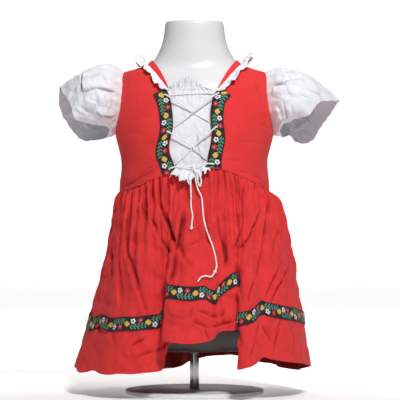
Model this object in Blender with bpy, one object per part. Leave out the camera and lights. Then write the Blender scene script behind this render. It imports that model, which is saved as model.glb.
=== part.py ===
"""A child's dirndl on a limbless dress form with a plain stand, in metres, +Z up.

The dress faces -Y. Left and right are as seen from the front, so left is -X. The origin is the middle
of the stand's underside. Every cloth piece is a thin wall with a true hollow: the bodice pieces are laid
over the form at a stated ease, the skirt runs from the waist seam to a hem read fold by fold, and each
sleeve is a tube from the armhole through two rings to the edge of its cuff.
"""

import math

import bmesh
import bpy
import numpy as np
from mathutils import Matrix, Vector

# Cloth, trims and the gaps between the pieces
CLOTH = 0.0012
RIBBON_CLOTH = 0.0010
SEAM_GAP = 0.0003
RIBBON_WIDTH = 0.0178
LACE_DIAMETER = 0.0020
LACE_HOLE_DIAMETER = 0.0037
NECK_BAND_WIDTH = 0.0085
NECK_BAND_END_WIDTH = 0.0035
RUFFLE_WIDTH = 0.0125

# The dress form's horizontal sections, from its flat bottom to the cut of its neck
# Columns: z, half width, front, back, power
FORM_SECTIONS = (
    (0.0570, 0.0720, 0.0540, 0.0550, 2.4),
    (0.0620, 0.0810, 0.0620, 0.0640, 2.4),
    (0.0850, 0.0900, 0.0700, 0.0730, 2.4),
    (0.1300, 0.0930, 0.0740, 0.0780, 2.4),
    (0.1900, 0.0910, 0.0790, 0.0720, 2.4),
    (0.2400, 0.0885, 0.0820, 0.0630, 2.4),
    (0.2700, 0.0880, 0.0830, 0.0590, 2.4),
    (0.3000, 0.0885, 0.0810, 0.0590, 2.4),
    (0.3300, 0.0925, 0.0765, 0.0620, 2.5),
    (0.3600, 0.0948, 0.0700, 0.0660, 2.7),
    (0.3850, 0.0952, 0.0625, 0.0670, 2.9),
    (0.4020, 0.0946, 0.0545, 0.0620, 2.8),
    (0.4110, 0.0920, 0.0490, 0.0560, 2.6),
    (0.4155, 0.0865, 0.0460, 0.0520, 2.4),
    (0.4190, 0.0770, 0.0435, 0.0485, 2.3),
    (0.4225, 0.0670, 0.0415, 0.0455, 2.2),
    (0.4275, 0.0582, 0.0400, 0.0435, 2.1),
    (0.4340, 0.0520, 0.0392, 0.0425, 2.0),
    (0.4420, 0.0478, 0.0385, 0.0410, 2.0),
    (0.4530, 0.0423, 0.0375, 0.0390, 2.0),
    (0.4680, 0.0395, 0.0365, 0.0375, 2.0),
    (0.4805, 0.0385, 0.0358, 0.0368, 2.0),
    (0.4830, 0.0368, 0.0342, 0.0352, 2.0),
)

# Rough sizes of the form at the waist, where a search for its surface starts
FORM_HALF_WIDTH = 0.09
FORM_DEPTH = 0.06

# How far the inside of the bodice stands off the form
# Columns: z, front, side, back
EASE = (
    (0.2500, 0.0050, 0.0085, 0.0022),
    (0.2720, 0.0050, 0.0080, 0.0020),
    (0.2906, 0.0050, 0.0050, 0.0016),
    (0.3101, 0.0050, 0.0050, 0.0014),
    (0.3260, 0.0050, 0.0068, 0.0014),
    (0.3426, 0.0050, 0.0085, 0.0014),
    (0.3686, 0.0050, 0.0062, 0.0014),
    (0.3850, 0.0050, 0.0038, 0.0013),
    (0.3940, 0.0042, 0.0028, 0.0013),
    (0.4040, 0.0022, 0.0030, 0.0052),
    (0.4120, 0.0013, 0.0040, 0.0070),
    (0.4180, 0.0011, 0.0015, 0.0032),
    (0.4400, 0.0009, 0.0009, 0.0012),
)

# The bodice fronts' inner edges: the laced opening, then the neckline up to the shoulder
FRONT_EDGE_COLUMNS = ("z", "left", "right")
FRONT_EDGE = (
    (0.2780, -0.0205, 0.0160),
    (0.2920, -0.0235, 0.0162),
    (0.3036, -0.0290, 0.0168),
    (0.3140, -0.0315, 0.0195),
    (0.3270, -0.0298, 0.0218),
    (0.3413, -0.0262, 0.0212),
    (0.3550, -0.0266, 0.0200),
    (0.3700, -0.0284, 0.0215),
    (0.3830, -0.0318, 0.0248),
    (0.3920, -0.0365, 0.0335),
    (0.4030, -0.0430, 0.0410),
    (0.4121, -0.0482, 0.0470),
    (0.4205, -0.0540, 0.0532),
    (0.4268, -0.0588, 0.0584),
)
NECK_START_Z = 0.3905
SHOULDER_Z = 0.4268

# The neckline across the back, from the left shoulder to the right one
# Columns: x, y, z
BACK_NECK = (
    (-0.0575, 0.0120, 0.4262),
    (-0.0490, 0.0270, 0.4250),
    (-0.0330, 0.0390, 0.4235),
    (-0.0140, 0.0460, 0.4222),
    (0.0000, 0.0480, 0.4218),
    (0.0140, 0.0460, 0.4222),
    (0.0330, 0.0390, 0.4235),
    (0.0490, 0.0270, 0.4250),
    (0.0575, 0.0120, 0.4262),
)

# The front half of the armhole from the underarm to the shoulder; the back half mirrors it
# Columns: depth, z
ARMHOLE = (
    (0.0, 0.3360),
    (0.0130, 0.3385),
    (0.0255, 0.3470),
    (0.0330, 0.3600),
    (0.0355, 0.3750),
    (0.0335, 0.3900),
    (0.0265, 0.4030),
    (0.0160, 0.4110),
    (0.0070, 0.4145),
    (0.0, 0.4155),
)

# The height of the waist seam across the front; round the back it is level
# Columns: x, z
WAIST_LINE = (
    (-0.0890, 0.2620),
    (-0.0800, 0.2640),
    (-0.0650, 0.2690),
    (-0.0540, 0.2755),
    (-0.0440, 0.2800),
    (-0.0300, 0.2830),
    (-0.0200, 0.2860),
    (0.0000, 0.2885),
    (0.0170, 0.2912),
    (0.0330, 0.2895),
    (0.0480, 0.2845),
    (0.0680, 0.2750),
    (0.0810, 0.2670),
    (0.0890, 0.2620),
)

# The hem, fold by fold: first the front from the left side seam to the right one, then the back
# Columns: x, y, z
HEM_FRONT = (
    (-0.1556, 0.0050, 0.0354),
    (-0.1476, -0.0250, 0.0290),
    (-0.1296, -0.0500, 0.0335),
    (-0.1158, -0.0760, 0.0304),
    (-0.0962, -0.0920, 0.0323),
    (-0.0783, -0.0990, 0.0325),
    (-0.0582, -0.0985, 0.0345),
    (-0.0440, -0.0945, 0.0358),
    (-0.0385, -0.0895, 0.0400),
    (-0.0360, -0.0880, 0.0550),
    (-0.0310, -0.0900, 0.0690),
    (-0.0310, -0.1020, 0.0740),
    (-0.0415, -0.1150, 0.0748),
    (-0.0290, -0.1250, 0.0740),
    (-0.0103, -0.1280, 0.0723),
    (0.0072, -0.1250, 0.0734),
    (0.0196, -0.1180, 0.0757),
    (0.0265, -0.1110, 0.0800),
    (0.0320, -0.1050, 0.0868),
    (0.0448, -0.1060, 0.0872),
    (0.0570, -0.0990, 0.0880),
    (0.0622, -0.1010, 0.0700),
    (0.0600, -0.1080, 0.0520),
    (0.0541, -0.1150, 0.0401),
    (0.0645, -0.1250, 0.0422),
    (0.0758, -0.1210, 0.0457),
    (0.0849, -0.1060, 0.0540),
    (0.0977, -0.0990, 0.0510),
    (0.1185, -0.0800, 0.0466),
    (0.1362, -0.0520, 0.0427),
    (0.1483, -0.0120, 0.0379),
)
HEM_BACK = (
    (0.1483, -0.0120, 0.0379),
    (0.1500, 0.0150, 0.0340),
    (0.1390, 0.0400, 0.0290),
    (0.1380, 0.0640, 0.0262),
    (0.1160, 0.0740, 0.0285),
    (0.1070, 0.0990, 0.0312),
    (0.0840, 0.0960, 0.0350),
    (0.0730, 0.1180, 0.0395),
    (0.0510, 0.1220, 0.0420),
    (0.0400, 0.1040, 0.0430),
    (0.0230, 0.1090, 0.0415),
    (0.0130, 0.1260, 0.0390),
    (-0.0080, 0.1270, 0.0330),
    (-0.0190, 0.1090, 0.0275),
    (-0.0380, 0.1100, 0.0245),
    (-0.0500, 0.1270, 0.0222),
    (-0.0720, 0.1220, 0.0215),
    (-0.0830, 0.1010, 0.0212),
    (-0.1010, 0.1030, 0.0208),
    (-0.1200, 0.0910, 0.0222),
    (-0.1270, 0.0660, 0.0245),
    (-0.1480, 0.0560, 0.0280),
    (-0.1570, 0.0330, 0.0315),
    (-0.1556, 0.0050, 0.0354),
)
# Which part of the waist's front each part of the hem's front hangs from; columns: hem share, waist share
WAIST_SHARES = (
    (0.0, 0.0),
    (0.30, 0.333),
    (0.40, 0.425),
    (0.467, 0.490),
    (0.533, 0.583),
    (0.60, 0.633),
    (0.70, 0.70),
    (1.0, 1.0),
)

# Between the ribbons the skirt's top lies close to the form, behind the insert
CENTRE_X = -0.0035
CENTRE_REACH = 0.0195
CENTRE_LIFT = 0.0016
GATHERS_EACH_HALF = 30
GATHER_HEIGHT = 0.0024
GATHER_FADE = 0.55
RIBBON_ABOVE_HEM = 0.0545
# Where the raised middle of the front curls, the ribbon lies closer to the hem; columns: x, how much closer
RIBBON_DIPS = (
    (0.0100, 0.0),
    (0.0196, 0.0070),
    (0.0265, 0.0125),
    (0.0320, 0.0110),
    (0.0420, 0.0050),
    (0.0520, 0.0),
)
SKIRT_HEM_ROWS = (0.0, 0.027)
SKIRT_UPPER_ROWS = (0.79, 0.57, 0.37, 0.19, 0.05, 0.0)
SKIRT_FLARE = 0.86
SKIRT_FLARE_LEAN = 2.1

# Large creases of the skirt's front, each a straight trough in the front view
# Columns: x top, z top, x bottom, z bottom, depth, width
SKIRT_CREASES = (
    (-0.0480, 0.2440, -0.0240, 0.1800, 0.0050, 0.0070),
    (-0.0150, 0.2340, -0.0240, 0.1420, 0.0050, 0.0070),
    (-0.0800, 0.2300, -0.0900, 0.1300, 0.0040, 0.0080),
    (0.0300, 0.2450, 0.0420, 0.1500, 0.0045, 0.0080),
    (0.0640, 0.2350, 0.0900, 0.1250, 0.0050, 0.0090),
    (0.0020, 0.2100, 0.0180, 0.1300, 0.0035, 0.0080),
)

# How finely the bodice is divided
SIDE_SEAM_ROWS = 6
ARMHOLE_ROWS = 11
RIBBON_ROWS = 9
NECK_ROWS = SIDE_SEAM_ROWS + ARMHOLE_ROWS - RIBBON_ROWS
BODICE_FRONT_COLUMNS = 7
BODICE_BACK_COLUMNS = 20

# The white insert behind the laced opening
INSERT_MIDDLE_X = -0.0040
# Columns: z, lift, wave, half width
INSERT_ROWS = (
    (0.2740, 0.0100, 0.0016, 0.0185),
    (0.2790, 0.0088, 0.0010, 0.0180),
    (0.2850, 0.0066, 0.0006, 0.0170),
    (0.2890, 0.0044, 0.0003, 0.0168),
    (0.2935, 0.0010, 0.0002, 0.0172),
    (0.3020, 0.0005, 0.0, 0.0300),
    (0.3450, 0.0005, 0.0, 0.0415),
    (0.3680, 0.0005, 0.0, 0.0415),
    (0.3890, 0.0005, 0.0, 0.0415),
    (0.3955, 0.0010, 0.0004, 0.0310),
    (0.4040, 0.0034, 0.0014, 0.0285),
)
INSERT_WAVES = 6

# The two rings inside each sleeve: the middle, the half axis to its top and the half axis to its front
# Columns: middle x and z, top x and z, front x, y and z
SLEEVE_RINGS = {
    "left": (
        (-0.1115, 0.3815, -0.0055, 0.0455, 0.0000, -0.0545, 0.0000),
        (-0.1275, 0.3755, -0.0200, 0.0400, 0.0010, -0.0610, 0.0040),
    ),
    "right": (
        (0.1115, 0.3785, 0.0055, 0.0435, 0.0000, -0.0540, 0.0000),
        (0.1305, 0.3725, 0.0235, 0.0370, -0.0010, -0.0610, 0.0040),
    ),
}
# The edge of each cuff: from its top forwards and down to the underarm, then up the back
# Columns: x, y, z
CUFF_FRONT = {
    "left": (
        (-0.1751, 0.0000, 0.3988),
        (-0.1660, -0.0300, 0.3867),
        (-0.1574, -0.0500, 0.3718),
        (-0.1536, -0.0560, 0.3575),
        (-0.1450, -0.0500, 0.3526),
        (-0.1287, -0.0420, 0.3486),
        (-0.1150, -0.0320, 0.3473),
        (-0.1098, -0.0200, 0.3440),
        (-0.1125, -0.0040, 0.3365),
    ),
    "right": (
        (0.1882, 0.0000, 0.3811),
        (0.1742, -0.0280, 0.3791),
        (0.1594, -0.0480, 0.3770),
        (0.1524, -0.0550, 0.3681),
        (0.1458, -0.0560, 0.3591),
        (0.1337, -0.0500, 0.3571),
        (0.1235, -0.0420, 0.3531),
        (0.1126, -0.0300, 0.3503),
        (0.1100, -0.0180, 0.3436),
        (0.1125, -0.0040, 0.3370),
    ),
}
CUFF_BACK = {
    "left": (
        (-0.1125, -0.0040, 0.3365),
        (-0.1165, 0.0200, 0.3325),
        (-0.1330, 0.0400, 0.3304),
        (-0.1496, 0.0520, 0.3309),
        (-0.1656, 0.0500, 0.3494),
        (-0.1770, 0.0350, 0.3734),
        (-0.1751, 0.0000, 0.3988),
    ),
    "right": (
        (0.1125, -0.0040, 0.3370),
        (0.1155, 0.0220, 0.3350),
        (0.1276, 0.0380, 0.3365),
        (0.1380, 0.0500, 0.3263),
        (0.1566, 0.0520, 0.3309),
        (0.1683, 0.0480, 0.3503),
        (0.1839, 0.0260, 0.3735),
        (0.1882, 0.0000, 0.3811),
    ),
}
SLEEVE_ROWS = 5
SLEEVE_GATHER_HEIGHT = 0.0016

NECK_BAND_STEPS = 35
RUFFLE_WAVES = 25
RUFFLE_STEPS_A_WAVE = 3
RUFFLE_START = 0.3950
RUFFLE_WAVE_HEIGHT = 0.0023
RUFFLE_RISE = 0.0010

# The lace: its holes and its route in the front view, with how far its middle stands off the form
LACE_BEHIND = 0.0031
LACE_IN_FRONT = 0.0090
# Columns: x, z
HOLES = {
    "top_left": (-0.0372, 0.3835),
    "top_right": (0.0308, 0.3850),
    "middle_left": (-0.0335, 0.3376),
    "middle_right": (0.0285, 0.3439),
    "bottom_left": (-0.0308, 0.2900),
    "bottom_right": (0.0240, 0.2960),
}
# Columns: x, z, lift
LACING = (
    (-0.0020, 0.2918, 0.0104),
    (-0.0070, 0.2922, 0.0100),
    (-0.0140, 0.2932, 0.0094),
    (-0.0222, 0.2930, 0.0090),
    "bottom_left",
    (-0.0240, 0.2962, 0.0035),
    (-0.0140, 0.3050, 0.0031),
    (-0.0017, 0.3173, 0.0036),
    (0.0100, 0.3280, 0.0064),
    (0.0205, 0.3370, 0.0089),
    "middle_right",
    (0.0200, 0.3500, 0.0031),
    (0.0110, 0.3545, 0.0032),
    (-0.0017, 0.3616, 0.0036),
    (-0.0150, 0.3700, 0.0064),
    (-0.0280, 0.3780, 0.0089),
    "top_left",
    (-0.0290, 0.3838, 0.0031),
    (-0.0150, 0.3850, 0.0032),
    (0.0000, 0.3858, 0.0032),
    (0.0140, 0.3862, 0.0032),
    (0.0230, 0.3858, 0.0031),
    "top_right",
    (0.0220, 0.3800, 0.0089),
    (0.0110, 0.3712, 0.0082),
    (-0.0017, 0.3616, 0.0062),
    (-0.0130, 0.3520, 0.0042),
    (-0.0245, 0.3440, 0.0031),
    "middle_left",
    (-0.0250, 0.3325, 0.0089),
    (-0.0140, 0.3260, 0.0082),
    (-0.0017, 0.3173, 0.0062),
    (0.0080, 0.3085, 0.0042),
    (0.0160, 0.3015, 0.0033),
    "bottom_right",
    (0.0160, 0.2972, 0.0089),
    (0.0105, 0.2955, 0.0093),
    (0.0050, 0.2938, 0.0098),
    (0.0002, 0.2920, 0.0104),
)
LONGEST_STRAIGHT = 0.014
SHARPEST_TURN = math.radians(27)
KNOT_CLEARANCE = 0.0006

# The knots: the one at the waist, and one near the tip of each hanging end
# Columns: x, y, z, width, depth, height
KNOTS = {
    "lace_knot": (-0.0010, -0.0936, 0.2917, 0.0064, 0.0046, 0.0060),
    "lace_tip_left": (-0.0036, -0.1034, 0.2168, 0.0046, 0.0042, 0.0052),
    "lace_tip_right": (0.0258, -0.1074, 0.1616, 0.0050, 0.0044, 0.0050),
}

# The hanging ends and the loop of the bow, as points in space from one knot to the next
# Columns: x, y, z
CORD_ROUTES = {
    "lace_end_left": (
        (-0.0016, -0.0940, 0.2905),
        (-0.0038, -0.0955, 0.2830),
        (-0.0046, -0.0984, 0.2740),
        (-0.0042, -0.0984, 0.2578),
        (-0.0039, -0.0992, 0.2415),
        (-0.0023, -0.1008, 0.2327),
        (-0.0029, -0.1020, 0.2240),
        (-0.0036, -0.1032, 0.2175),
    ),
    "lace_end_right": (
        (0.0000, -0.0940, 0.2900),
        (0.0014, -0.0976, 0.2790),
        (0.0040, -0.0974, 0.2667),
        (0.0090, -0.0970, 0.2553),
        (0.0103, -0.0993, 0.2440),
        (0.0119, -0.1019, 0.2277),
        (0.0167, -0.1052, 0.2102),
        (0.0203, -0.1064, 0.2012),
        (0.0232, -0.1064, 0.1927),
        (0.0272, -0.1052, 0.1765),
        (0.0279, -0.1054, 0.1690),
        (0.0261, -0.1072, 0.1622),
    ),
    "lace_tail_right": (
        (0.0254, -0.1076, 0.1610),
        (0.0212, -0.1098, 0.1556),
        (0.0146, -0.1112, 0.1566),
        (0.0084, -0.1142, 0.1548),
        (0.0044, -0.1160, 0.1498),
    ),
    "lace_loop": (
        (0.0004, -0.0950, 0.2912),
        (0.0052, -0.0972, 0.2850),
        (0.0088, -0.0990, 0.2750),
        (0.0070, -0.0992, 0.2692),
        (0.0046, -0.0998, 0.2745),
        (0.0032, -0.0990, 0.2840),
        (-0.0006, -0.0965, 0.2905),
    ),
}

# The stand
BASE_DIAMETER = 0.180
BASE_THICKNESS = 0.006
POLE_DIAMETER = 0.012

COLOURS = {
    "red cotton": (0.62, 0.045, 0.04),
    "white cotton": (0.78, 0.78, 0.80),
    "woven ribbon": (0.02, 0.016, 0.018),
    "lace cord": (0.80, 0.80, 0.78),
    "glossy white": (0.76, 0.76, 0.77),
    "chrome": (0.70, 0.70, 0.72),
    "painted white": (0.72, 0.72, 0.73),
}


def clear_scene():
    for item in list(bpy.data.objects):
        bpy.data.objects.remove(item, do_unlink=True)


def material(name, roughness=0.85, metallic=0.0):
    found = bpy.data.materials.get(name)
    if found is None:
        found = bpy.data.materials.new(name)
        found.use_nodes = True
        shader = found.node_tree.nodes["Principled BSDF"]
        shader.inputs["Base Color"].default_value = (*COLOURS[name], 1.0)
        shader.inputs["Roughness"].default_value = roughness
        shader.inputs["Metallic"].default_value = metallic
    return found


def new_object(name, data, finish):
    made = bpy.data.objects.new(name, data)
    made.data.materials.append(finish)
    bpy.context.scene.collection.objects.link(made)
    return made


def monotone(known, values, at):
    """A smooth curve through the known points that never swings past them, read at the places given."""
    known, values = np.asarray(known, float), np.asarray(values, float)
    at = np.clip(at, known[0], known[-1])
    steps = np.diff(known)
    slopes = np.diff(values) / steps
    product = slopes[:-1] * slopes[1:]
    total = np.where(product > 0, slopes[:-1] + slopes[1:], 1.0)
    tangents = np.concatenate(
        [slopes[:1], np.where(product > 0, 2 * product / total, 0.0), slopes[-1:]]
    )
    cell = np.clip(np.searchsorted(known, at, side="right") - 1, 0, len(steps) - 1)
    part = (at - known[cell]) / steps[cell]
    square, cube = part**2, part**3
    return (
        (2 * cube - 3 * square + 1) * values[cell]
        + (cube - 2 * square + part) * steps[cell] * tangents[cell]
        + (3 * square - 2 * cube) * values[cell + 1]
        + (cube - square) * steps[cell] * tangents[cell + 1]
    )


def column(table, number, at):
    """Another column of a table whose first column rises, read at the places given."""
    rows = np.array(table)
    return monotone(rows[:, 0], rows[:, number], at)


def spline(points, samples=16):
    """Many points of one smooth curve through an open row of points."""
    points = np.asarray(points, float)
    padded = np.vstack([2 * points[0] - points[1], points, 2 * points[-1] - points[-2]])
    found = []
    for before, start, end, after in zip(padded, padded[1:], padded[2:], padded[3:]):
        for part in np.arange(samples) / samples:
            found.append(
                0.5
                * (
                    2 * start
                    + (end - before) * part
                    + (2 * before - 5 * start + 4 * end - after) * part**2
                    + (3 * start - before - 3 * end + after) * part**3
                )
            )
    return np.vstack([found, points[-1:]])


def lengths_along(points):
    steps = np.linalg.norm(np.diff(points, axis=0), axis=1)
    return np.concatenate([[0.0], np.cumsum(steps)])


def spread(points, fractions):
    """Points at these fractions of the length of a row of points."""
    along = lengths_along(points)
    places = np.asarray(fractions) * along[-1]
    return np.stack([np.interp(places, along, points[:, axis]) for axis in range(3)], axis=-1)


def form_value(points):
    """Zero on the form's surface, below zero inside it."""
    x, y, z = np.abs(points[..., 0]), points[..., 1], points[..., 2]
    half, front, back, power = (column(FORM_SECTIONS, number, z) for number in (1, 2, 3, 4))
    depth = np.where(y < 0, front, back)
    return ((x / half) ** power + (np.abs(y) / depth) ** power) ** (1 / power) - 1


def form_slope(points):
    step = 2e-5
    shifts = np.eye(3) * step
    return np.stack(
        [(form_value(points + s) - form_value(points - s)) / (2 * step) for s in shifts], axis=-1
    )


def foot_on_form(points):
    """The nearby points of the form's surface, and the directions that point straight out there."""
    points = np.array(points, float)
    for _ in range(14):
        slope = form_slope(points)
        square = (slope**2).sum(axis=-1, keepdims=True)
        points = points - slope * form_value(points)[..., None] / np.maximum(square, 1e-6)
    slope = form_slope(points)
    return points, slope / np.linalg.norm(slope, axis=-1, keepdims=True)


def ease_at(points):
    x, y, z = points[..., 0], points[..., 1], points[..., 2]
    half = column(FORM_SECTIONS, 1, z)
    depth = np.where(y < 0, column(FORM_SECTIONS, 2, z), column(FORM_SECTIONS, 3, z))
    across, along = (x / half) ** 2, (y / depth) ** 2
    sideways = across / np.maximum(across + along, 1e-6)
    flat = np.where(y < 0, column(EASE, 1, z), column(EASE, 3, z))
    return sideways * column(EASE, 2, z) + (1 - sideways) * flat


def off_form(points, lift):
    """The points laid over the form, this far off its surface."""
    foot, out = foot_on_form(points)
    return foot + out * np.asarray(lift)[..., None]


def over_bodice(points, lift):
    """The points laid over the form, this far off the inside of the bodice."""
    foot, out = foot_on_form(points)
    return foot + out * (ease_at(foot) + lift)[..., None]


def front_point(x, z):
    """A rough point of the form's front, or of its side, at this place in the front view."""
    half, front, power = (column(FORM_SECTIONS, number, z) for number in (1, 2, 4))
    inside = np.clip(1 - np.abs(x / half) ** power, 0, 1)
    return np.stack([x + 0 * z, -front * inside ** (1 / power), z + 0 * x], axis=-1)


def side_point(side, depth, z):
    """A rough point of the form's side at this depth and height."""
    half, power = column(FORM_SECTIONS, 1, z), column(FORM_SECTIONS, 4, z)
    reach = np.where(depth < 0, column(FORM_SECTIONS, 2, z), column(FORM_SECTIONS, 3, z))
    inside = np.clip(1 - np.abs(depth / reach) ** power, 0, 1)
    return np.stack([side * half * inside ** (1 / power), depth, z], axis=-1)


def wall_mesh(name, inner, outer, round_closed=False):
    """A closed wall between two like grids of points, rows by columns."""
    rows, columns = inner.shape[:2]
    count = rows * columns
    points = np.vstack([outer.reshape(-1, 3), inner.reshape(-1, 3)])
    last = columns if round_closed else columns - 1
    faces = []

    def corner(row, place, layer):
        return layer * count + row * columns + place % columns

    def add(quad, turn=1):
        a, b, c, d = quad
        faces.append((a, b, c)[::turn])
        faces.append((a, c, d)[::turn])

    for row in range(rows - 1):
        for place in range(last):
            quad = [(row, place), (row, place + 1), (row + 1, place + 1), (row + 1, place)]
            add([corner(r, p, 0) for r, p in quad])
            add([corner(r, p, 1) for r, p in quad], -1)
    for row, turn in ((0, 1), (rows - 1, -1)):
        for place in range(last):
            rim = [(place, 0), (place, 1), (place + 1, 1), (place + 1, 0)]
            add([corner(row, p, layer) for p, layer in rim], turn)
    if not round_closed:
        for place, turn in ((0, -1), (columns - 1, 1)):
            for row in range(rows - 1):
                rim = [(row, 0), (row, 1), (row + 1, 1), (row + 1, 0)]
                add([corner(r, place, layer) for r, layer in rim], turn)
    faces = np.array(faces)
    corners = points[faces]
    if np.einsum("ij,ij->", corners[:, 0], np.cross(corners[:, 1], corners[:, 2])) < 0:
        faces = faces[:, ::-1]
    mesh = bpy.data.meshes.new(name)
    mesh.from_pydata(points.tolist(), [], faces.tolist())
    mesh.shade_smooth()
    mesh.set_sharp_from_angle(angle=math.radians(75))
    return mesh


def cloth_piece(name, inner, outer, finish, round_closed=False):
    return new_object(name, wall_mesh(name, inner, outer, round_closed), finish)


def grid_normals(grid):
    """Directions straight out of a grid that runs right round, longer at sharp turns as a mitre is."""
    down = np.gradient(grid, axis=0)
    sides = []
    for shift in (-1, 1):
        across = (np.roll(grid, shift, axis=1) - grid) * -shift
        out = np.cross(across, down)
        sides.append(out / np.linalg.norm(out, axis=-1, keepdims=True))
    agree = (sides[0] * sides[1]).sum(axis=-1, keepdims=True)
    return (sides[0] + sides[1]) / np.maximum(1 + agree, 0.75)


def waist_height(points):
    """The height of the waist seam at each point's place round the form."""
    front = column(WAIST_LINE, 1, points[..., 0])
    return np.where(points[..., 1] < 0, front, WAIST_LINE[0][1])


def bent_to_waist(foot):
    """The grid's lowest row moved to the waist seam, and the rows above it less and less."""
    fade = np.linspace(1, 0, len(foot)) ** 2
    for _ in range(3):
        foot[..., 2] += (waist_height(foot[0]) - foot[0, :, 2])[None] * fade[:, None]
        foot, _ = foot_on_form(foot)
    return foot


def front_edge(side_name, z):
    return column(FRONT_EDGE, FRONT_EDGE_COLUMNS.index(side_name), z)


def outer_edge(side, face):
    """The side seam and half the armhole, from the waist to the shoulder; face is -1 in front."""
    seam = [(0.0, 0.0, z) for z in np.linspace(WAIST_LINE[0][1], ARMHOLE[0][1], SIDE_SEAM_ROWS)]
    armhole = spline([(0.0, *row) for row in ARMHOLE])
    path = np.vstack([seam, spread(armhole, np.linspace(0, 1, ARMHOLE_ROWS))[1:]])
    depth = face * np.maximum(path[:, 1], SEAM_GAP / 2)
    return side_point(side, depth, path[:, 2])


def bodice_front_grid(side, side_name):
    """Feet on the form of one bodice front: rows from the waist up, columns from the opening outwards."""
    paths = []
    for low, high, rows in ((0.2835, NECK_START_Z, RIBBON_ROWS), (NECK_START_Z, SHOULDER_Z, NECK_ROWS)):
        z = np.linspace(low, high, 60)
        path = front_point(front_edge(side_name, z), z)
        paths.append(spread(path, np.linspace(0, 1, rows)))
    inner = np.vstack([paths[0], paths[1][1:]])
    inner[-1, 1] = -SEAM_GAP / 2
    reach = [np.full(len(inner), -side * part * RIBBON_WIDTH) for part in (0.0, 0.5, 1.0)]
    strip = np.array([beside(inner, across) for across in reach])
    strip[:, -1, 1] = -SEAM_GAP / 2
    outer = outer_edge(side, -1)
    parts = np.linspace(0, 1, BODICE_FRONT_COLUMNS + 1)[1:, None, None]
    rest = strip[-1] + (outer - strip[-1])[None] * parts
    foot, _ = foot_on_form(np.vstack([strip, rest]).transpose(1, 0, 2))
    return bent_to_waist(foot)


def bodice_back_grid():
    """Feet on the form of the bodice back: rows from the waist up, columns from left to right."""
    shoulder = float(front_edge("right", SHOULDER_Z))
    seam = SEAM_GAP / 2
    neck = spline([(-shoulder, seam, SHOULDER_Z), *BACK_NECK, (shoulder, seam, SHOULDER_Z)])
    left, right = (outer_edge(side, 1) for side in (-1, 1))
    strap = np.linalg.norm(neck[0] - left[-1])
    share = strap / (lengths_along(neck)[-1] + 2 * strap)
    fractions = np.linspace(0, 1, BODICE_BACK_COLUMNS + 1)
    top = spread(np.vstack([left[-1:], neck, right[-1:]]), fractions)
    top[fractions < share, 1] = seam
    top[fractions > 1 - share, 1] = seam
    chord = left[:, None] + (right - left)[:, None] * fractions[None, :, None]
    chord[..., 1] += FORM_DEPTH * np.sin(math.pi * fractions)[None]
    foot, _ = foot_on_form(chord)
    rise = np.clip(np.linspace(-0.55, 1, len(left)), 0, 1)[:, None, None]
    foot, _ = foot_on_form(foot + (top - foot[-1])[None] * rise)
    foot[-1, :, 1] = np.where(top[:, 1] <= seam, seam, foot[-1, :, 1])
    return bent_to_waist(foot)


def make_bodice(red, ribbon):
    for side, side_name in ((-1, "left"), (1, "right")):
        foot = bodice_front_grid(side, side_name)
        front = cloth_piece(
            f"bodice_front_{side_name}", over_bodice(foot, 0.0), over_bodice(foot, CLOTH), red
        )
        under = foot[:RIBBON_ROWS, :3].copy()
        under[0] += (under[1] - under[0]) * 0.04
        low = CLOTH + SEAM_GAP
        band = cloth_piece(
            f"ribbon_bodice_{side_name}",
            over_bodice(under, low),
            over_bodice(under, low + RIBBON_CLOTH),
            ribbon,
        )
        cutter = hole_cutter(side_name)
        for piece in (front, band):
            cut = piece.modifiers.new("lace holes", "BOOLEAN")
            cut.operation = "DIFFERENCE"
            cut.object = cutter
    foot = bodice_back_grid()
    cloth_piece("bodice_back", over_bodice(foot, 0.0), over_bodice(foot, CLOTH), red)


def hole_cutter(side_name):
    """One guide object of three short rods, where the lace goes through a bodice front."""
    mesh = bpy.data.meshes.new(f"hole_cutter_{side_name}")
    shape = bmesh.new()
    for name, place in HOLES.items():
        if not name.endswith(side_name):
            continue
        foot, out = foot_on_form(front_point(*np.array(place)))
        middle = foot + out * (LACE_BEHIND + LACE_IN_FRONT) / 2
        turn = Vector(out).to_track_quat("Z", "Y").to_matrix().to_4x4()
        bmesh.ops.create_cone(
            shape,
            cap_ends=True,
            segments=10,
            radius1=LACE_HOLE_DIAMETER / 2,
            radius2=LACE_HOLE_DIAMETER / 2,
            depth=LACE_IN_FRONT - LACE_BEHIND + 0.002,
            matrix=Matrix.Translation(middle) @ turn,
        )
    shape.to_mesh(mesh)
    shape.free()
    cutter = new_object(mesh.name, mesh, material("red cotton"))
    cutter.hide_render = True
    cutter.display_type = "WIRE"
    return cutter


def beside(path, across):
    """Points beside a path over the form, this far to its left as it runs."""
    foot, out = foot_on_form(path)
    along = np.gradient(foot, axis=0)
    left = np.cross(out, along)
    left /= np.linalg.norm(left, axis=-1, keepdims=True)
    return foot + left * np.asarray(across)[..., None]


def neck_path(count, start=NECK_START_Z):
    """The neckline from the left front round the back to the right front."""
    z = np.linspace(start, SHOULDER_Z, 60)
    left = front_point(front_edge("left", z), z)
    right = front_point(front_edge("right", z), z)[::-1]
    sides = [spread(side, np.linspace(0, 1, 9)) for side in (left, right)]
    return spread(spline(np.vstack([sides[0], BACK_NECK, sides[1]])), np.linspace(0, 1, count))


def make_neck_band(finish):
    path = neck_path(NECK_BAND_STEPS)
    ends = np.sin(np.linspace(0, math.pi, len(path))) ** 0.5
    width = NECK_BAND_END_WIDTH + (NECK_BAND_WIDTH - NECK_BAND_END_WIDTH) * ends
    foot = np.array([beside(path, np.full(len(path), -4 * SEAM_GAP)), beside(path, -width)])
    cloth_piece("neck_band", over_bodice(foot, 0.0), over_bodice(foot, CLOTH), finish)


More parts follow.
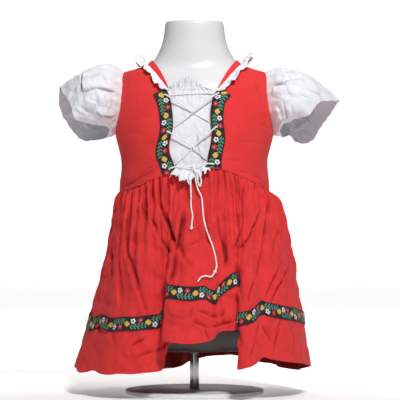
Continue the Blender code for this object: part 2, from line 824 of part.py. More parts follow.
def make_neck_ruffle(finish):
    count = RUFFLE_WAVES * RUFFLE_STEPS_A_WAVE + 1
    path = neck_path(count, RUFFLE_START)
    wave = np.sin(2 * math.pi * RUFFLE_WAVES * np.linspace(0, 1, count) + 0.5)
    feet, lifts = [], []
    for reach, rise in ((0.06, 0.0), (0.5, 0.6), (1.0, 1.0)):
        feet.append(beside(path, np.full(count, reach * RUFFLE_WIDTH)))
        lifts.append(CLOTH + 2 * SEAM_GAP + rise * (RUFFLE_RISE + RUFFLE_WAVE_HEIGHT * (1 + wave)))
    feet, lifts = np.array(feet), np.array(lifts)
    cloth_piece("neck_ruffle", over_bodice(feet, lifts), over_bodice(feet, lifts + CLOTH), finish)


def make_insert(finish):
    across = np.linspace(-1, 1, 4 * INSERT_WAVES + 1)[None, :]
    z, lift, wave, half_width = (np.array(INSERT_ROWS)[:, [k]] for k in range(4))
    lift = lift + wave * (1 + np.sin(math.pi * INSERT_WAVES * across))
    foot = front_point(INSERT_MIDDLE_X + across * half_width, z)
    cloth_piece("insert", off_form(foot, lift), off_form(foot, lift + CLOTH), finish)


def skirt_edges(count):
    """The waist ring and the hem ring, each with the same number of points from the left side seam."""
    fractions = np.linspace(0, 1, count + 1)[:-1]
    hem = np.vstack([spread(spline(HEM_FRONT), fractions), spread(spline(HEM_BACK), fractions)])
    angle = np.pi * np.arange(400) / 400
    halves = []
    for face in (-1, 1):
        x = -np.cos(angle) if face < 0 else np.cos(angle)
        rough = np.stack(
            [FORM_HALF_WIDTH * x, face * FORM_DEPTH * np.sin(angle), np.full(400, 0.27)], axis=-1
        )
        foot, _ = foot_on_form(rough)
        foot[:, 2] = waist_height(foot)
        foot, _ = foot_on_form(foot)
        halves.append(foot)
    front = np.vstack([halves[0], halves[1][:1]])
    back = np.vstack([halves[1], halves[0][:1]])
    shares = column(WAIST_SHARES, 1, fractions)
    waist = np.vstack([spread(front, shares), spread(back, fractions)])
    return waist, hem


def crease_depth(points):
    """How deep the creases press into the front of the skirt at each point."""
    depth = np.zeros(points.shape[:-1])
    for x_top, z_top, x_bottom, z_bottom, deepest, width in SKIRT_CREASES:
        down = np.clip((z_top - points[..., 2]) / (z_top - z_bottom), -0.2, 1.2)
        middle = x_top + (x_bottom - x_top) * down
        ends = np.clip(4 * (1 - np.abs(2 * down - 1)) + 0.4, 0, 1)
        depth += deepest * ends * np.exp(-(((points[..., 0] - middle) / width) ** 2))
    return np.where(points[..., 1] < -0.02, depth, 0.0)


def skirt_grid():
    """The middle of the skirt's wall, rows from the hem to the waist, columns round from the left seam."""
    count = 2 * GATHERS_EACH_HALF
    waist, hem = skirt_edges(count)
    foot, out = foot_on_form(waist)
    centre = np.exp(-(((foot[:, 0] - CENTRE_X) / CENTRE_REACH) ** 6)) * (foot[:, 1] < 0)
    lift = (ease_at(foot) + CLOTH / 2) * (1 - centre) + CENTRE_LIFT * centre
    top = foot + out * lift[:, None]
    top[:, 2] = waist[:, 2] - 4 * SEAM_GAP
    slope = np.linalg.norm(hem - top, axis=1)
    above_hem = RIBBON_ABOVE_HEM - np.where(hem[:, 1] < 0, column(RIBBON_DIPS, 1, hem[:, 0]), 0.0)
    ribbon_low = 1 - above_hem / slope
    ribbon_high = 1 - (above_hem + RIBBON_WIDTH) / slope
    levels = [1 - above / slope for above in SKIRT_HEM_ROWS]
    levels += [ribbon_low, ribbon_high]
    levels += [ribbon_high * part for part in SKIRT_UPPER_ROWS]
    levels = np.array(levels)
    power = np.clip(SKIRT_FLARE - SKIRT_FLARE_LEAN * hem[:, 0], 0.55, 1.25)[None]
    outward = levels**power
    grid = top[None] + (hem - top)[None] * outward[..., None]
    grid[..., 2] = top[None, :, 2] + (hem - top)[None, :, 2] * levels
    normals = grid_normals(grid)
    fade = np.clip(1 - levels / GATHER_FADE, 0, 1) * np.clip(levels / 0.03, 0.25, 1)
    turn = 2 * math.pi * np.arange(2 * count) * GATHERS_EACH_HALF / count
    unevenness = 1 + 0.35 * np.sin(1.7 * turn / 7) + 0.2 * np.sin(2.9 * turn / 11)
    centre_calm = 1 - 0.75 * centre
    ripple = np.cos(turn) * unevenness * centre_calm
    push = GATHER_HEIGHT * (fade * ripple[None] + 0.4 * np.clip(levels / 0.05, 0, 1) * fade)
    grid = grid + normals * (push - crease_depth(grid) * np.clip(1 - fade, 0.3, 1))[..., None]
    return grid, grid_normals(grid)


def halves_of(grid, count):
    """The grid's front and back halves, each ending half a seam gap short of the side seams."""
    closed = np.concatenate([grid, grid[:, :1]], axis=1)
    found = []
    for start in (0, count):
        half = closed[:, start : start + count + 1].copy()
        for end, inward in ((0, 1), (-1, -2)):
            step = half[:, inward] - half[:, end]
            step /= np.linalg.norm(step, axis=-1, keepdims=True)
            half[:, end] += step * SEAM_GAP / 2
        found.append(half)
    return found


def make_skirt(red, ribbon):
    count = 2 * GATHERS_EACH_HALF
    grid, normals = skirt_grid()
    inner = halves_of(grid - normals * CLOTH / 2, count)
    outer = halves_of(grid + normals * CLOTH / 2, count)
    low, high = len(SKIRT_HEM_ROWS), len(SKIRT_HEM_ROWS) + 2
    near = CLOTH / 2 + SEAM_GAP
    band_inner = halves_of((grid + normals * near)[low:high], count)
    band_outer = halves_of((grid + normals * (near + RIBBON_CLOTH))[low:high], count)
    for number, name in enumerate(("front", "back")):
        cloth_piece(f"skirt_{name}", inner[number], outer[number], red)
        cloth_piece(f"ribbon_skirt_{name}", band_inner[number], band_outer[number], ribbon)


def armhole_ring(side):
    """Points just inside the armhole's edge: from its top forwards and down, then up the back."""
    front, back = (foot_on_form(outer_edge(side, face))[0][SIDE_SEAM_ROWS - 1 :] for face in (-1, 1))
    top, underarm = (front[-1] + back[-1]) / 2, (front[0] + back[0]) / 2
    corners = over_bodice(np.vstack([top, front[-2:0:-1], underarm, back[1:-1]]), CLOTH / 2)
    ring = np.stack([corners, (corners + np.roll(corners, -1, axis=0)) / 2], axis=1).reshape(-1, 3)
    along = np.roll(ring, -1, axis=0) - np.roll(ring, 1, axis=0)
    inward = np.cross(along, (side, 0, 0))
    inward *= np.sign(np.einsum("ij,ij->", inward, ring.mean(axis=0) - ring))
    inward /= np.linalg.norm(inward, axis=1, keepdims=True)
    return ring + inward * (CLOTH / 2 + 3.5 * SEAM_GAP)


def sleeve_grid(side, side_name):
    rings = [armhole_ring(side)]
    count = len(rings[0])
    angle = 2 * math.pi * np.arange(count) / count
    for x, z, top_x, top_z, front_x, front_y, front_z in SLEEVE_RINGS[side_name]:
        middle = np.array((x, 0, z))
        to_top, to_front = np.array((top_x, 0, top_z)), np.array((front_x, front_y, front_z))
        rings.append(
            middle + np.cos(angle)[:, None] * to_top + np.sin(angle)[:, None] * to_front
        )
    halves = [spline(table[side_name]) for table in (CUFF_FRONT, CUFF_BACK)]
    rings.append(np.vstack([spread(half, np.arange(count // 2) / (count // 2)) for half in halves]))
    rings = np.array(rings)
    stations = np.array([spline(rings[:, place]) for place in range(count)])
    grid = np.array([spread(path, np.linspace(0, 1, SLEEVE_ROWS + 1)) for path in stations])
    grid = grid.transpose(1, 0, 2)
    normals = grid_normals(grid)
    outward = np.einsum("ijk,ijk->", normals, grid - grid.mean(axis=1, keepdims=True))
    normals = normals * np.sign(outward)
    cap = np.clip(np.cos(angle) + 0.35, 0, 1)
    fade = np.interp(np.linspace(0, 1, SLEEVE_ROWS + 1), (0, 0.15, 0.5, 1), (0, 1, 0.45, 0))
    ripple = np.cos(count / 2 * angle) * cap * SLEEVE_GATHER_HEIGHT
    grid = grid + normals * (fade[:, None] * ripple[None])[..., None]
    return grid, grid_normals(grid) * np.sign(outward)


def make_sleeves(finish):
    for side, side_name in ((-1, "left"), (1, "right")):
        grid, normals = sleeve_grid(side, side_name)
        cloth_piece(
            f"sleeve_{side_name}",
            grid - normals * CLOTH / 2,
            grid + normals * CLOTH / 2,
            finish,
            round_closed=True,
        )


def through_hole(name, before, after):
    """The lace's points as it turns through a hole, from the side of one neighbour to that of the other."""
    middle, out = foot_on_form(front_point(*np.array(HOLES[name])))
    rises = before[1] < after[1]
    reach = (LACE_IN_FRONT - LACE_BEHIND) / 2
    points = []
    for turn in np.radians((0, 45, 90, 135, 180)):
        towards = (before if turn < math.pi / 2 else after)[0] - middle
        towards = towards - out * (towards @ out)
        towards /= np.linalg.norm(towards)
        lift = LACE_BEHIND + reach * (1 - math.cos(turn if rises else math.pi - turn))
        points.append(middle + towards * reach * (1 - math.sin(turn)) + out * lift)
    return points


def lacing_points():
    """The whole lacing from one side of the knot round to the other."""
    stations = []
    for item in LACING:
        if isinstance(item, str):
            stations.append(item)
        else:
            foot, out = foot_on_form(front_point(item[0], item[1]))
            stations.append((foot + out * item[2], item[2]))
    points = []
    for place, item in enumerate(stations):
        if isinstance(item, str):
            points.extend(through_hole(item, stations[place - 1], stations[place + 1]))
        else:
            points.append(item[0])
    return points


def outside_knots(points):
    """The points that lie clear of every knot."""
    clear = np.ones(len(points), bool)
    for knot in KNOTS.values():
        reach = np.array(knot[3:]) / 2 + KNOT_CLEARANCE
        clear &= (((points - knot[:3]) / reach) ** 2).sum(axis=1) > 1
    return points[clear]


def cord_points(route):
    """Points of a smooth curve through the route, close together only where it turns."""
    fine = outside_knots(spline(route, 12))
    kept = [0]
    for place in range(1, len(fine) - 1):
        start = fine[kept[-1] + 1] - fine[kept[-1]]
        here = fine[place + 1] - fine[place]
        bend = math.acos(np.clip(start @ here / np.linalg.norm(start) / np.linalg.norm(here), -1, 1))
        far = np.linalg.norm(fine[place + 1] - fine[kept[-1]])
        if bend > SHARPEST_TURN or far > LONGEST_STRAIGHT:
            kept.append(place)
    return fine[kept + [len(fine) - 1]]


def cord(name, route, finish):
    curve = bpy.data.curves.new(name, "CURVE")
    curve.dimensions = "3D"
    curve.bevel_depth = LACE_DIAMETER / 2
    curve.bevel_resolution = 2
    curve.use_fill_caps = True
    points = cord_points(route)
    line = curve.splines.new("POLY")
    line.points.add(len(points) - 1)
    for point, place in zip(line.points, points):
        point.co = (*place, 1.0)
    return new_object(name, curve, finish)


def bead(name, middle, size, finish):
    """A small rounded lump, as a tight knot is."""
    mesh = bpy.data.meshes.new(name)
    shape = bmesh.new()
    bmesh.ops.create_icosphere(shape, subdivisions=2, radius=0.5)
    bmesh.ops.scale(shape, vec=size, verts=shape.verts)
    bmesh.ops.translate(shape, vec=middle, verts=shape.verts)
    shape.to_mesh(mesh)
    shape.free()
    mesh.shade_smooth()
    return new_object(name, mesh, finish)


def make_lace(finish):
    cord("lacing", lacing_points(), finish)
    for name, route in CORD_ROUTES.items():
        cord(name, route, finish)
    for name, knot in KNOTS.items():
        bead(name, knot[:3], knot[3:], finish)


def make_form(finish):
    sides = 28
    heights = [row[0] for row in FORM_SECTIONS]
    angle = 2 * math.pi * np.arange(sides) / sides
    points, faces = [], []
    for z in heights:
        half, front, back, power = (float(column(FORM_SECTIONS, k, z)) for k in (1, 2, 3, 4))
        for turn in angle:
            c, s = math.cos(turn), math.sin(turn)
            depth = front if s < 0 else back
            x = half * math.copysign(abs(c) ** (2 / power), c)
            y = depth * math.copysign(abs(s) ** (2 / power), s)
            points.append((x, y, z))
    for row in range(len(heights) - 1):
        for k in range(sides):
            a, b = row * sides + k, row * sides + (k + 1) % sides
            faces.append((a, b, b + sides, a + sides))
    faces.append(tuple(range(sides))[::-1])
    faces.append(tuple(range(len(points) - sides, len(points))))
    mesh = bpy.data.meshes.new("dress_form")
    mesh.from_pydata(points, [], faces)
    mesh.shade_smooth()
    mesh.set_sharp_from_angle(angle=math.radians(50))
    return new_object("dress_form", mesh, finish)


def cylinder(name, diameter, low, high, finish, sides=40):
    bpy.ops.mesh.primitive_cylinder_add(
        vertices=sides, radius=diameter / 2, depth=high - low, location=(0, 0, (low + high) / 2)
    )
    made = bpy.context.object
    made.name = name
    made.data.materials.append(finish)
    return made


def make_stand(chrome, painted):
    base = cylinder("stand_base", BASE_DIAMETER, 0.0, BASE_THICKNESS, painted, 40)
    edge = base.modifiers.new("edge", "BEVEL")
    edge.width = 0.0015
    edge.segments = 1
    edge.limit_method = "ANGLE"
    cylinder(
        "stand_pole",
        POLE_DIAMETER,
        BASE_THICKNESS + SEAM_GAP,
        FORM_SECTIONS[0][0] - SEAM_GAP,
        chrome,
        24,
    )


def main():
    clear_scene()
    red = material("red cotton")
    white = material("white cotton")
    ribbon = material("woven ribbon", 0.7)
    make_form(material("glossy white", 0.25))
    make_stand(material("chrome", 0.15, 1.0), material("painted white", 0.4))
    make_bodice(red, ribbon)
    make_neck_band(red)
    make_neck_ruffle(white)
    make_insert(white)
    make_skirt(red, ribbon)
    make_sleeves(white)
    make_lace(material("lace cord", 0.8))


main()
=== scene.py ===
# %% [markdown]
# A child's dirndl on a limbless dress form
#
# A dirndl is a folk dress: a close bodice laced over a white insert, short puff sleeves and a gathered
# skirt. This lesson dresses a frame that already has every piece at its real size. Each cloth wall of the
# frame is read back as rows and columns of points, made finer on smooth curves, creased and given a woven
# finish. Units are metres, +Z is up and the dress faces -Y, so the left of the picture is -X.

# %% Load the frame
import itertools
import math

import bmesh
import bpy
import numpy as np
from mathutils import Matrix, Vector


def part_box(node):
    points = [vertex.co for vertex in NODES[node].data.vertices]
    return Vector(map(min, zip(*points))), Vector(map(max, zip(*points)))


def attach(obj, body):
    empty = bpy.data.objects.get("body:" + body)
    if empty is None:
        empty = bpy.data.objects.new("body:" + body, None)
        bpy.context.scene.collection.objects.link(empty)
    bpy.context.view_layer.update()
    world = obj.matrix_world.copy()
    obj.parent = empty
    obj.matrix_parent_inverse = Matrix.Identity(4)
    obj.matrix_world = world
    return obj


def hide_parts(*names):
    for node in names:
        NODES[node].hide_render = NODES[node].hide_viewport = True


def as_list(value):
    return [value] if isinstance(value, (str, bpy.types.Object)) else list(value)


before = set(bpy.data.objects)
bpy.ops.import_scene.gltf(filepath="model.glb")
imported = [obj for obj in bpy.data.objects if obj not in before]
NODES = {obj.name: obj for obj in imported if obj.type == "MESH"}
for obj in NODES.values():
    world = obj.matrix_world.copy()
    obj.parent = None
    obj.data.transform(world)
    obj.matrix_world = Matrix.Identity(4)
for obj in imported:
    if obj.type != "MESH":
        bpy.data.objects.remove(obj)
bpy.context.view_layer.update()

bpy.ops.object.select_all(action="DESELECT")
print("nodes in the frame:", len(NODES))

# %% [markdown]
# Camera, floor and light
#
# The picture is taken from the front, level with the waist and from far away, so upright lines stay
# upright. A long lens three metres off gives the same calm perspective. The main softbox is high in front,
# a little to the right, and shades the folds. Two weaker ones fill in from the left and from above. Floor
# and backdrop are one white sweep of paper, which glows a little where it is seen behind the dress.

# %% Camera
def in_scene(name, data):
    """A new object in the scene."""
    made = bpy.data.objects.new(name, data)
    bpy.context.scene.collection.objects.link(made)
    return made


VIEW_MIDDLE = (0.00715, 0.0, 0.2516)
VIEW_WIDTH = 0.52
VIEW_DISTANCE = 3.0
SENSOR_WIDTH = 36.0

camera_data = bpy.data.cameras.new("camera")
camera_data.sensor_fit = "HORIZONTAL"
camera_data.sensor_width = SENSOR_WIDTH
camera_data.lens = SENSOR_WIDTH * VIEW_DISTANCE / VIEW_WIDTH
camera = in_scene("camera", camera_data)
camera.location = Vector(VIEW_MIDDLE) - Vector((0.0, VIEW_DISTANCE, 0.0))
camera.rotation_euler = (math.radians(90), 0.0, 0.0)
bpy.context.scene.camera = camera
print("lens", round(camera_data.lens, 1), "mm")

# %% Small helpers for shader nodes
def add(tree, kind, *inputs, **settings):
    """A shader node: its settings, then its inputs in order, each a link, a value or None to leave it."""
    made = tree.nodes.new(kind)
    for key, value in settings.items():
        setattr(made, key, value)
    for socket, value in zip(made.inputs, inputs):
        if isinstance(value, bpy.types.NodeSocket):
            tree.links.new(value, socket)
        elif value is not None:
            socket.default_value = value
    return made.outputs[0]


def maths(tree, operation, *inputs):
    return add(tree, "ShaderNodeMath", *inputs, operation=operation)


def mix(tree, share, below, above):
    """One colour laid over another by a share from 0 to 1."""
    made = tree.nodes.new("ShaderNodeMix")
    made.data_type = "RGBA"
    for number, value in ((0, share), (6, below), (7, above)):
        if isinstance(value, bpy.types.NodeSocket):
            tree.links.new(value, made.inputs[number])
        else:
            made.inputs[number].default_value = value if number == 0 else (*value, 1.0)
    return made.outputs[2]


def object_place(tree):
    return tree.nodes.new("ShaderNodeTexCoord").outputs["Object"]


def split_place(tree, place):
    """The x, y and z of a place."""
    split = tree.nodes.new("ShaderNodeSeparateXYZ")
    tree.links.new(place, split.inputs[0])
    return split.outputs


def ramp(tree, value, low, high, at_low, at_high):
    """A value read off a soft ramp, even below low and above high."""
    return add(
        tree, "ShaderNodeMapRange", value, low, high, at_low, at_high, interpolation_type="SMOOTHSTEP"
    )


def new_material(name, roughness, **constants):
    """A material whose even values sit on the shader's own sockets."""
    made = bpy.data.materials.new(name)
    made.use_nodes = True
    shader = made.node_tree.nodes["Principled BSDF"]
    shader.inputs["Roughness"].default_value = roughness
    for key, value in constants.items():
        shader.inputs[key.replace("_", " ")].default_value = value
    return made, made.node_tree, shader


def bump(tree, shader, height, distance, strength=1.0):
    relief = tree.nodes.new("ShaderNodeBump")
    relief.inputs["Strength"].default_value = strength
    relief.inputs["Distance"].default_value = distance
    tree.links.new(height, relief.inputs["Height"])
    tree.links.new(relief.outputs[0], shader.inputs["Normal"])


# %% Floor, backdrop and lights
SWEEP_WIDTH = 12.0
SWEEP_FRONT = -5.0
SWEEP_BACK = 5.2
SWEEP_TOP = 5.0
SWEEP_BEND = 0.8
SWEEP_STEPS = 12
SWEEP_SINK = 0.0002
# The paper's glow: none at the first value of each pair, in metres, and full at the second
GLOW = 0.72
GLOW_BEHIND = (-0.3, 0.4)
GLOW_BESIDE = (1.4, 0.95)
GLOW_ABOVE = (1.7, 1.2)

sweep_line = [(SWEEP_FRONT, 0.0), (SWEEP_BACK - SWEEP_BEND, 0.0)]
for turn in np.linspace(0, math.pi / 2, SWEEP_STEPS)[1:]:
    sweep_line.append(
        (SWEEP_BACK - SWEEP_BEND * (1 - math.sin(turn)), SWEEP_BEND * (1 - math.cos(turn)))
    )
sweep_line.append((SWEEP_BACK, SWEEP_TOP))
sweep_sides = (-SWEEP_WIDTH / 2, SWEEP_WIDTH / 2)
sweep_points = [(x, y, z - SWEEP_SINK) for y, z in sweep_line for x in sweep_sides]
sweep_faces = [(2 * k, 2 * k + 1, 2 * k + 3, 2 * k + 2) for k in range(len(sweep_line) - 1)]
sweep_mesh = bpy.data.meshes.new("backdrop")
sweep_mesh.from_pydata(sweep_points, [], sweep_faces)
sweep_mesh.shade_smooth()
backdrop = in_scene("backdrop", sweep_mesh)
paper, paper_tree, paper_shader = new_material("white paper", 0.9, Specular_IOR_Level=0.1)
paper_grain = add(paper_tree, "ShaderNodeTexNoise", None, None, 90.0)
paper_tree.links.new(
    mix(paper_tree, paper_grain, (0.93, 0.93, 0.93), (0.96, 0.96, 0.96)),
    paper_shader.inputs["Base Color"],
)
across, behind, above = split_place(paper_tree, object_place(paper_tree))
sideways = maths(paper_tree, "ABSOLUTE", across)
glow = GLOW
for part, none_at, full_at in (
    (behind, *GLOW_BEHIND), (sideways, *GLOW_BESIDE), (above, *GLOW_ABOVE)
):
    at_low, at_high = float(none_at > full_at), float(none_at < full_at)
    share = ramp(paper_tree, part, min(none_at, full_at), max(none_at, full_at), at_low, at_high)
    glow = maths(paper_tree, "MULTIPLY", glow, share)
paper_shader.inputs["Emission Color"].default_value = (1.0, 1.0, 1.0, 1.0)
paper_tree.links.new(glow, paper_shader.inputs["Emission Strength"])
sweep_mesh.materials.append(paper)

# Columns: name, place, size, power in watts
LAMPS = (
    ("front softbox", (0.40, -1.40, 1.70), 0.30, 34.0),
    ("left softbox", (-0.9, -2.6, 0.5), 0.8, 3.0),
    ("top softbox", (0.1, 0.0, 2.3), 1.0, 8.0),
)
ROOM_LIGHT = 0.11

for lamp_name, place, size, power in LAMPS:
    lamp_data = bpy.data.lights.new(lamp_name, "AREA")
    lamp_data.size = size
    lamp_data.energy = power
    lamp = in_scene(lamp_name, lamp_data)
    lamp.location = place
    lamp.rotation_euler = (Vector(VIEW_MIDDLE) - Vector(place)).to_track_quat("-Z", "Y").to_euler()
world = bpy.data.worlds.new("studio")
bpy.context.scene.world = world
world.use_nodes = True
world.node_tree.nodes["Background"].inputs[0].default_value = (1.0, 1.0, 1.0, 1.0)
world.node_tree.nodes["Background"].inputs[1].default_value = ROOM_LIGHT
bpy.context.scene.view_settings.view_transform = "Standard"
print("lamps:", len(LAMPS))

# %% [markdown]
# Cotton
#
# Bodice, skirt, sleeves, ruffle and insert are plain-woven cotton. A weave could be a picture, but nodes
# draw it at its true scale on any piece: two sets of threads take turns on top, in a chequer. Each piece
# carries a UV map in metres, so the threads follow the cloth and not the room. Broad noise makes the dye
# slightly uneven, and a soft sheen stands for the fine fuzz that cotton shows at its edges. Each point of a
# piece also says how deep in a fold it lies, and shade is painted into the colour there. The skirt's cotton
# has fine sharp creases besides, too small for its mesh: upright lines where a stretched noise crosses its
# middle, with a little painted shade at their bottoms.

# %% Woven cotton
COTTON_THREAD = 0.00042
# Painted shade in folds: the darkest it gets is this share of the deep colour
FOLD_SHADE_SHARE = 0.30
DYE_SCALE, SLUB_SCALE, CRUMPLE_SCALE = 34.0, 900.0, 120.0
# How much shade is painted at the bottom of the fine sharp creases
PAINTED_CREASE_SHADE = 0.10
CREASE_STRETCH = (1.0, 1.0, 0.42)
CREASE_SCALE = 25.0
CREASE_STEEPNESS = 24.0
RED = (0.77, 0.045, 0.046)
RED_DEEP = (0.63, 0.027, 0.030)
WHITE = (0.80, 0.81, 0.85)
WHITE_DEEP = (0.73, 0.74, 0.79)


def uv_parts(tree):
    return split_place(tree, add(tree, "ShaderNodeUVMap", uv_map="UVMap"))[:2]


def weave(tree, along, across, thread):
    """How high the cloth stands at each place: warp and weft take turns on top, in a chequer."""
    u, v = (maths(tree, "DIVIDE", part, thread) for part in (along, across))
    cells = [maths(tree, "FLOOR", part) for part in (u, v)]
    turn = maths(tree, "PINGPONG", maths(tree, "ADD", *cells), 1.0)
    warp, weft = (
        maths(tree, "ABSOLUTE", maths(tree, "SINE", maths(tree, "MULTIPLY", part, math.pi)))
        for part in (u, v)
    )
    first = maths(tree, "MULTIPLY", warp, turn)
    second = maths(tree, "MULTIPLY", weft, maths(tree, "SUBTRACT", 1.0, turn))
    return maths(tree, "ADD", first, second)


def object_noise(tree, scale, detail=2.0):
    return add(tree, "ShaderNodeTexNoise", object_place(tree), None, scale, detail)


def painted_fold_shade(tree, colour, dark):
    """The colour with painted shade at the bottom of folds: the piece's own fold attribute says where."""
    fold = tree.nodes.new("ShaderNodeAttribute")
    fold.attribute_name = "fold"
    return mix(tree, fold.outputs["Fac"], colour, dark)


def sharp_creases(tree):
    """1 on flat cloth and 0 at the bottom of fine upright creases, where a noise crosses its middle."""
    place = tree.nodes.new("ShaderNodeMapping")
    place.inputs["Scale"].default_value = CREASE_STRETCH
    tree.links.new(object_place(tree), place.inputs[0])
    waves = add(tree, "ShaderNodeTexNoise", place.outputs[0], None, CREASE_SCALE, 2.5, 0.5)
    from_middle = maths(tree, "ABSOLUTE", maths(tree, "SUBTRACT", waves, 0.5))
    return maths(tree, "MINIMUM", maths(tree, "MULTIPLY", from_middle, CREASE_STEEPNESS), 1.0)


def cotton(name, light, deep, creased=0.0):
    """Woven cotton; creased says how strongly its fine sharp creases stand out."""
    made, tree, shader = new_material(
        name, 0.9, Specular_IOR_Level=0.12, Sheen_Weight=0.04, Sheen_Roughness=0.5
    )
    along, across = uv_parts(tree)
    threads = weave(tree, along, across, COTTON_THREAD)
    dye = object_noise(tree, DYE_SCALE, 3.0)
    place = add(tree, "ShaderNodeUVMap", uv_map="UVMap")
    slub = add(tree, "ShaderNodeTexNoise", place, None, SLUB_SCALE, 1.0)
    share = maths(tree, "ADD", maths(tree, "MULTIPLY", dye, 0.75), maths(tree, "MULTIPLY", slub, 0.25))
    shade = maths(tree, "ADD", share, maths(tree, "MULTIPLY", threads, -0.22))
    fold_shade_colour = tuple(FOLD_SHADE_SHARE * part for part in deep)
    # Shade is painted into the colour at the bottom of folds
    colour = painted_fold_shade(tree, mix(tree, shade, light, deep), fold_shade_colour)
    crumpled = object_noise(tree, CRUMPLE_SCALE, 3.0)
    relief = maths(tree, "ADD", maths(tree, "MULTIPLY", threads, 0.16), crumpled)
    if creased:
        flat_parts = sharp_creases(tree)
        relief = maths(tree, "MULTIPLY_ADD", flat_parts, creased, relief)
        # The bottoms of the fine creases get painted shade, towards the fold shade colour
        in_crease = maths(tree, "SUBTRACT", 1.0, flat_parts)
        colour = mix(tree, maths(tree, "MULTIPLY", in_crease, PAINTED_CREASE_SHADE), colour, fold_shade_colour)
    tree.links.new(colour, shader.inputs["Base Color"])
    bump(tree, shader, relief, 0.0006, 0.55)
    return made


red_cotton = cotton("red cotton", RED, RED_DEEP)
creased_red_cotton = cotton("creased red cotton", RED, RED_DEEP, 2.2)
white_cotton = cotton("white cotton", WHITE, WHITE_DEEP)
print("threads to a centimetre:", round(0.01 / COTTON_THREAD))

# %% [markdown]
# The flower ribbon
#
# A jacquard ribbon is woven black with a garland: a yellow bud, then a white and a red flower along one
# side with a spray of leaves along the other, then the same with the sides exchanged. Drawing it with nodes
# needs only one half of the repeat, because the distance along the ribbon is folded into it and the sides
# are swapped by the count of folds. The UV place is first rounded to whole threads, as weaving does.

# %% Measures of the garland
RIBBON_WIDTH = 0.0178
HALF_REPEAT = 28.5
RIBBON_THREAD = 0.00036
MM = 1000.0
# Columns: place along and across in millimetres, size
WHITE_FLOWER = (8.4, 3.3, 3.6)
RED_FLOWER = (18.2, 3.5, 3.5)
BUD_RADIUS = 3.8
LEAF_LINE = -3.6
LEAF_PITCH = 4.6
LEAF_START, LEAF_END = 3.6, 25.6
LEAF_HALF_LENGTH, LEAF_HALF_WIDTH, LEAF_SLANT = 2.6, 0.74, math.radians(46)
STEM_HALF_WIDTH = 0.35
BLACK = (0.012, 0.010, 0.012)
LEAF_GREEN, LEAF_TIP = (0.040, 0.21, 0.125), (0.14, 0.40, 0.27)
YELLOW, OCHRE = (0.80, 0.50, 0.09), (0.42, 0.19, 0.03)
PETAL_WHITE, PETAL_SHADE = (0.86, 0.80, 0.82), (0.50, 0.42, 0.55)
HEART_PINK = (0.80, 0.30, 0.22)
PETAL_RED, PETAL_PINK = (0.66, 0.035, 0.045), (0.30, 0.012, 0.02)


def step_below(tree, value, limit, soft=0.25):
    """1 where the value is below the limit, 0 above it, with a narrow blend."""
    return ramp(tree, value, limit - soft, limit + soft, 1.0, 0.0)


def polar(tree, x, y, middle_x, middle_y):
    """Distance and direction from a flower's middle."""
    off_x, off_y = maths(tree, "SUBTRACT", x, middle_x), maths(tree, "SUBTRACT", y, middle_y)
    square = maths(tree, "ADD", maths(tree, "MULTIPLY", off_x, off_x), maths(tree, "MULTIPLY", off_y, off_y))
    return maths(tree, "SQRT", square), maths(tree, "ARCTAN2", off_y, off_x)


def petals(tree, distance, direction, radius, count, depth):
    """The part of the ribbon inside a flower with this many petals."""
    wave = maths(tree, "COSINE", maths(tree, "MULTIPLY", direction, float(count)))
    edge = maths(tree, "MULTIPLY_ADD", wave, radius * depth, radius * (1 - depth))
    return step_below(tree, maths(tree, "SUBTRACT", distance, edge), 0.0)


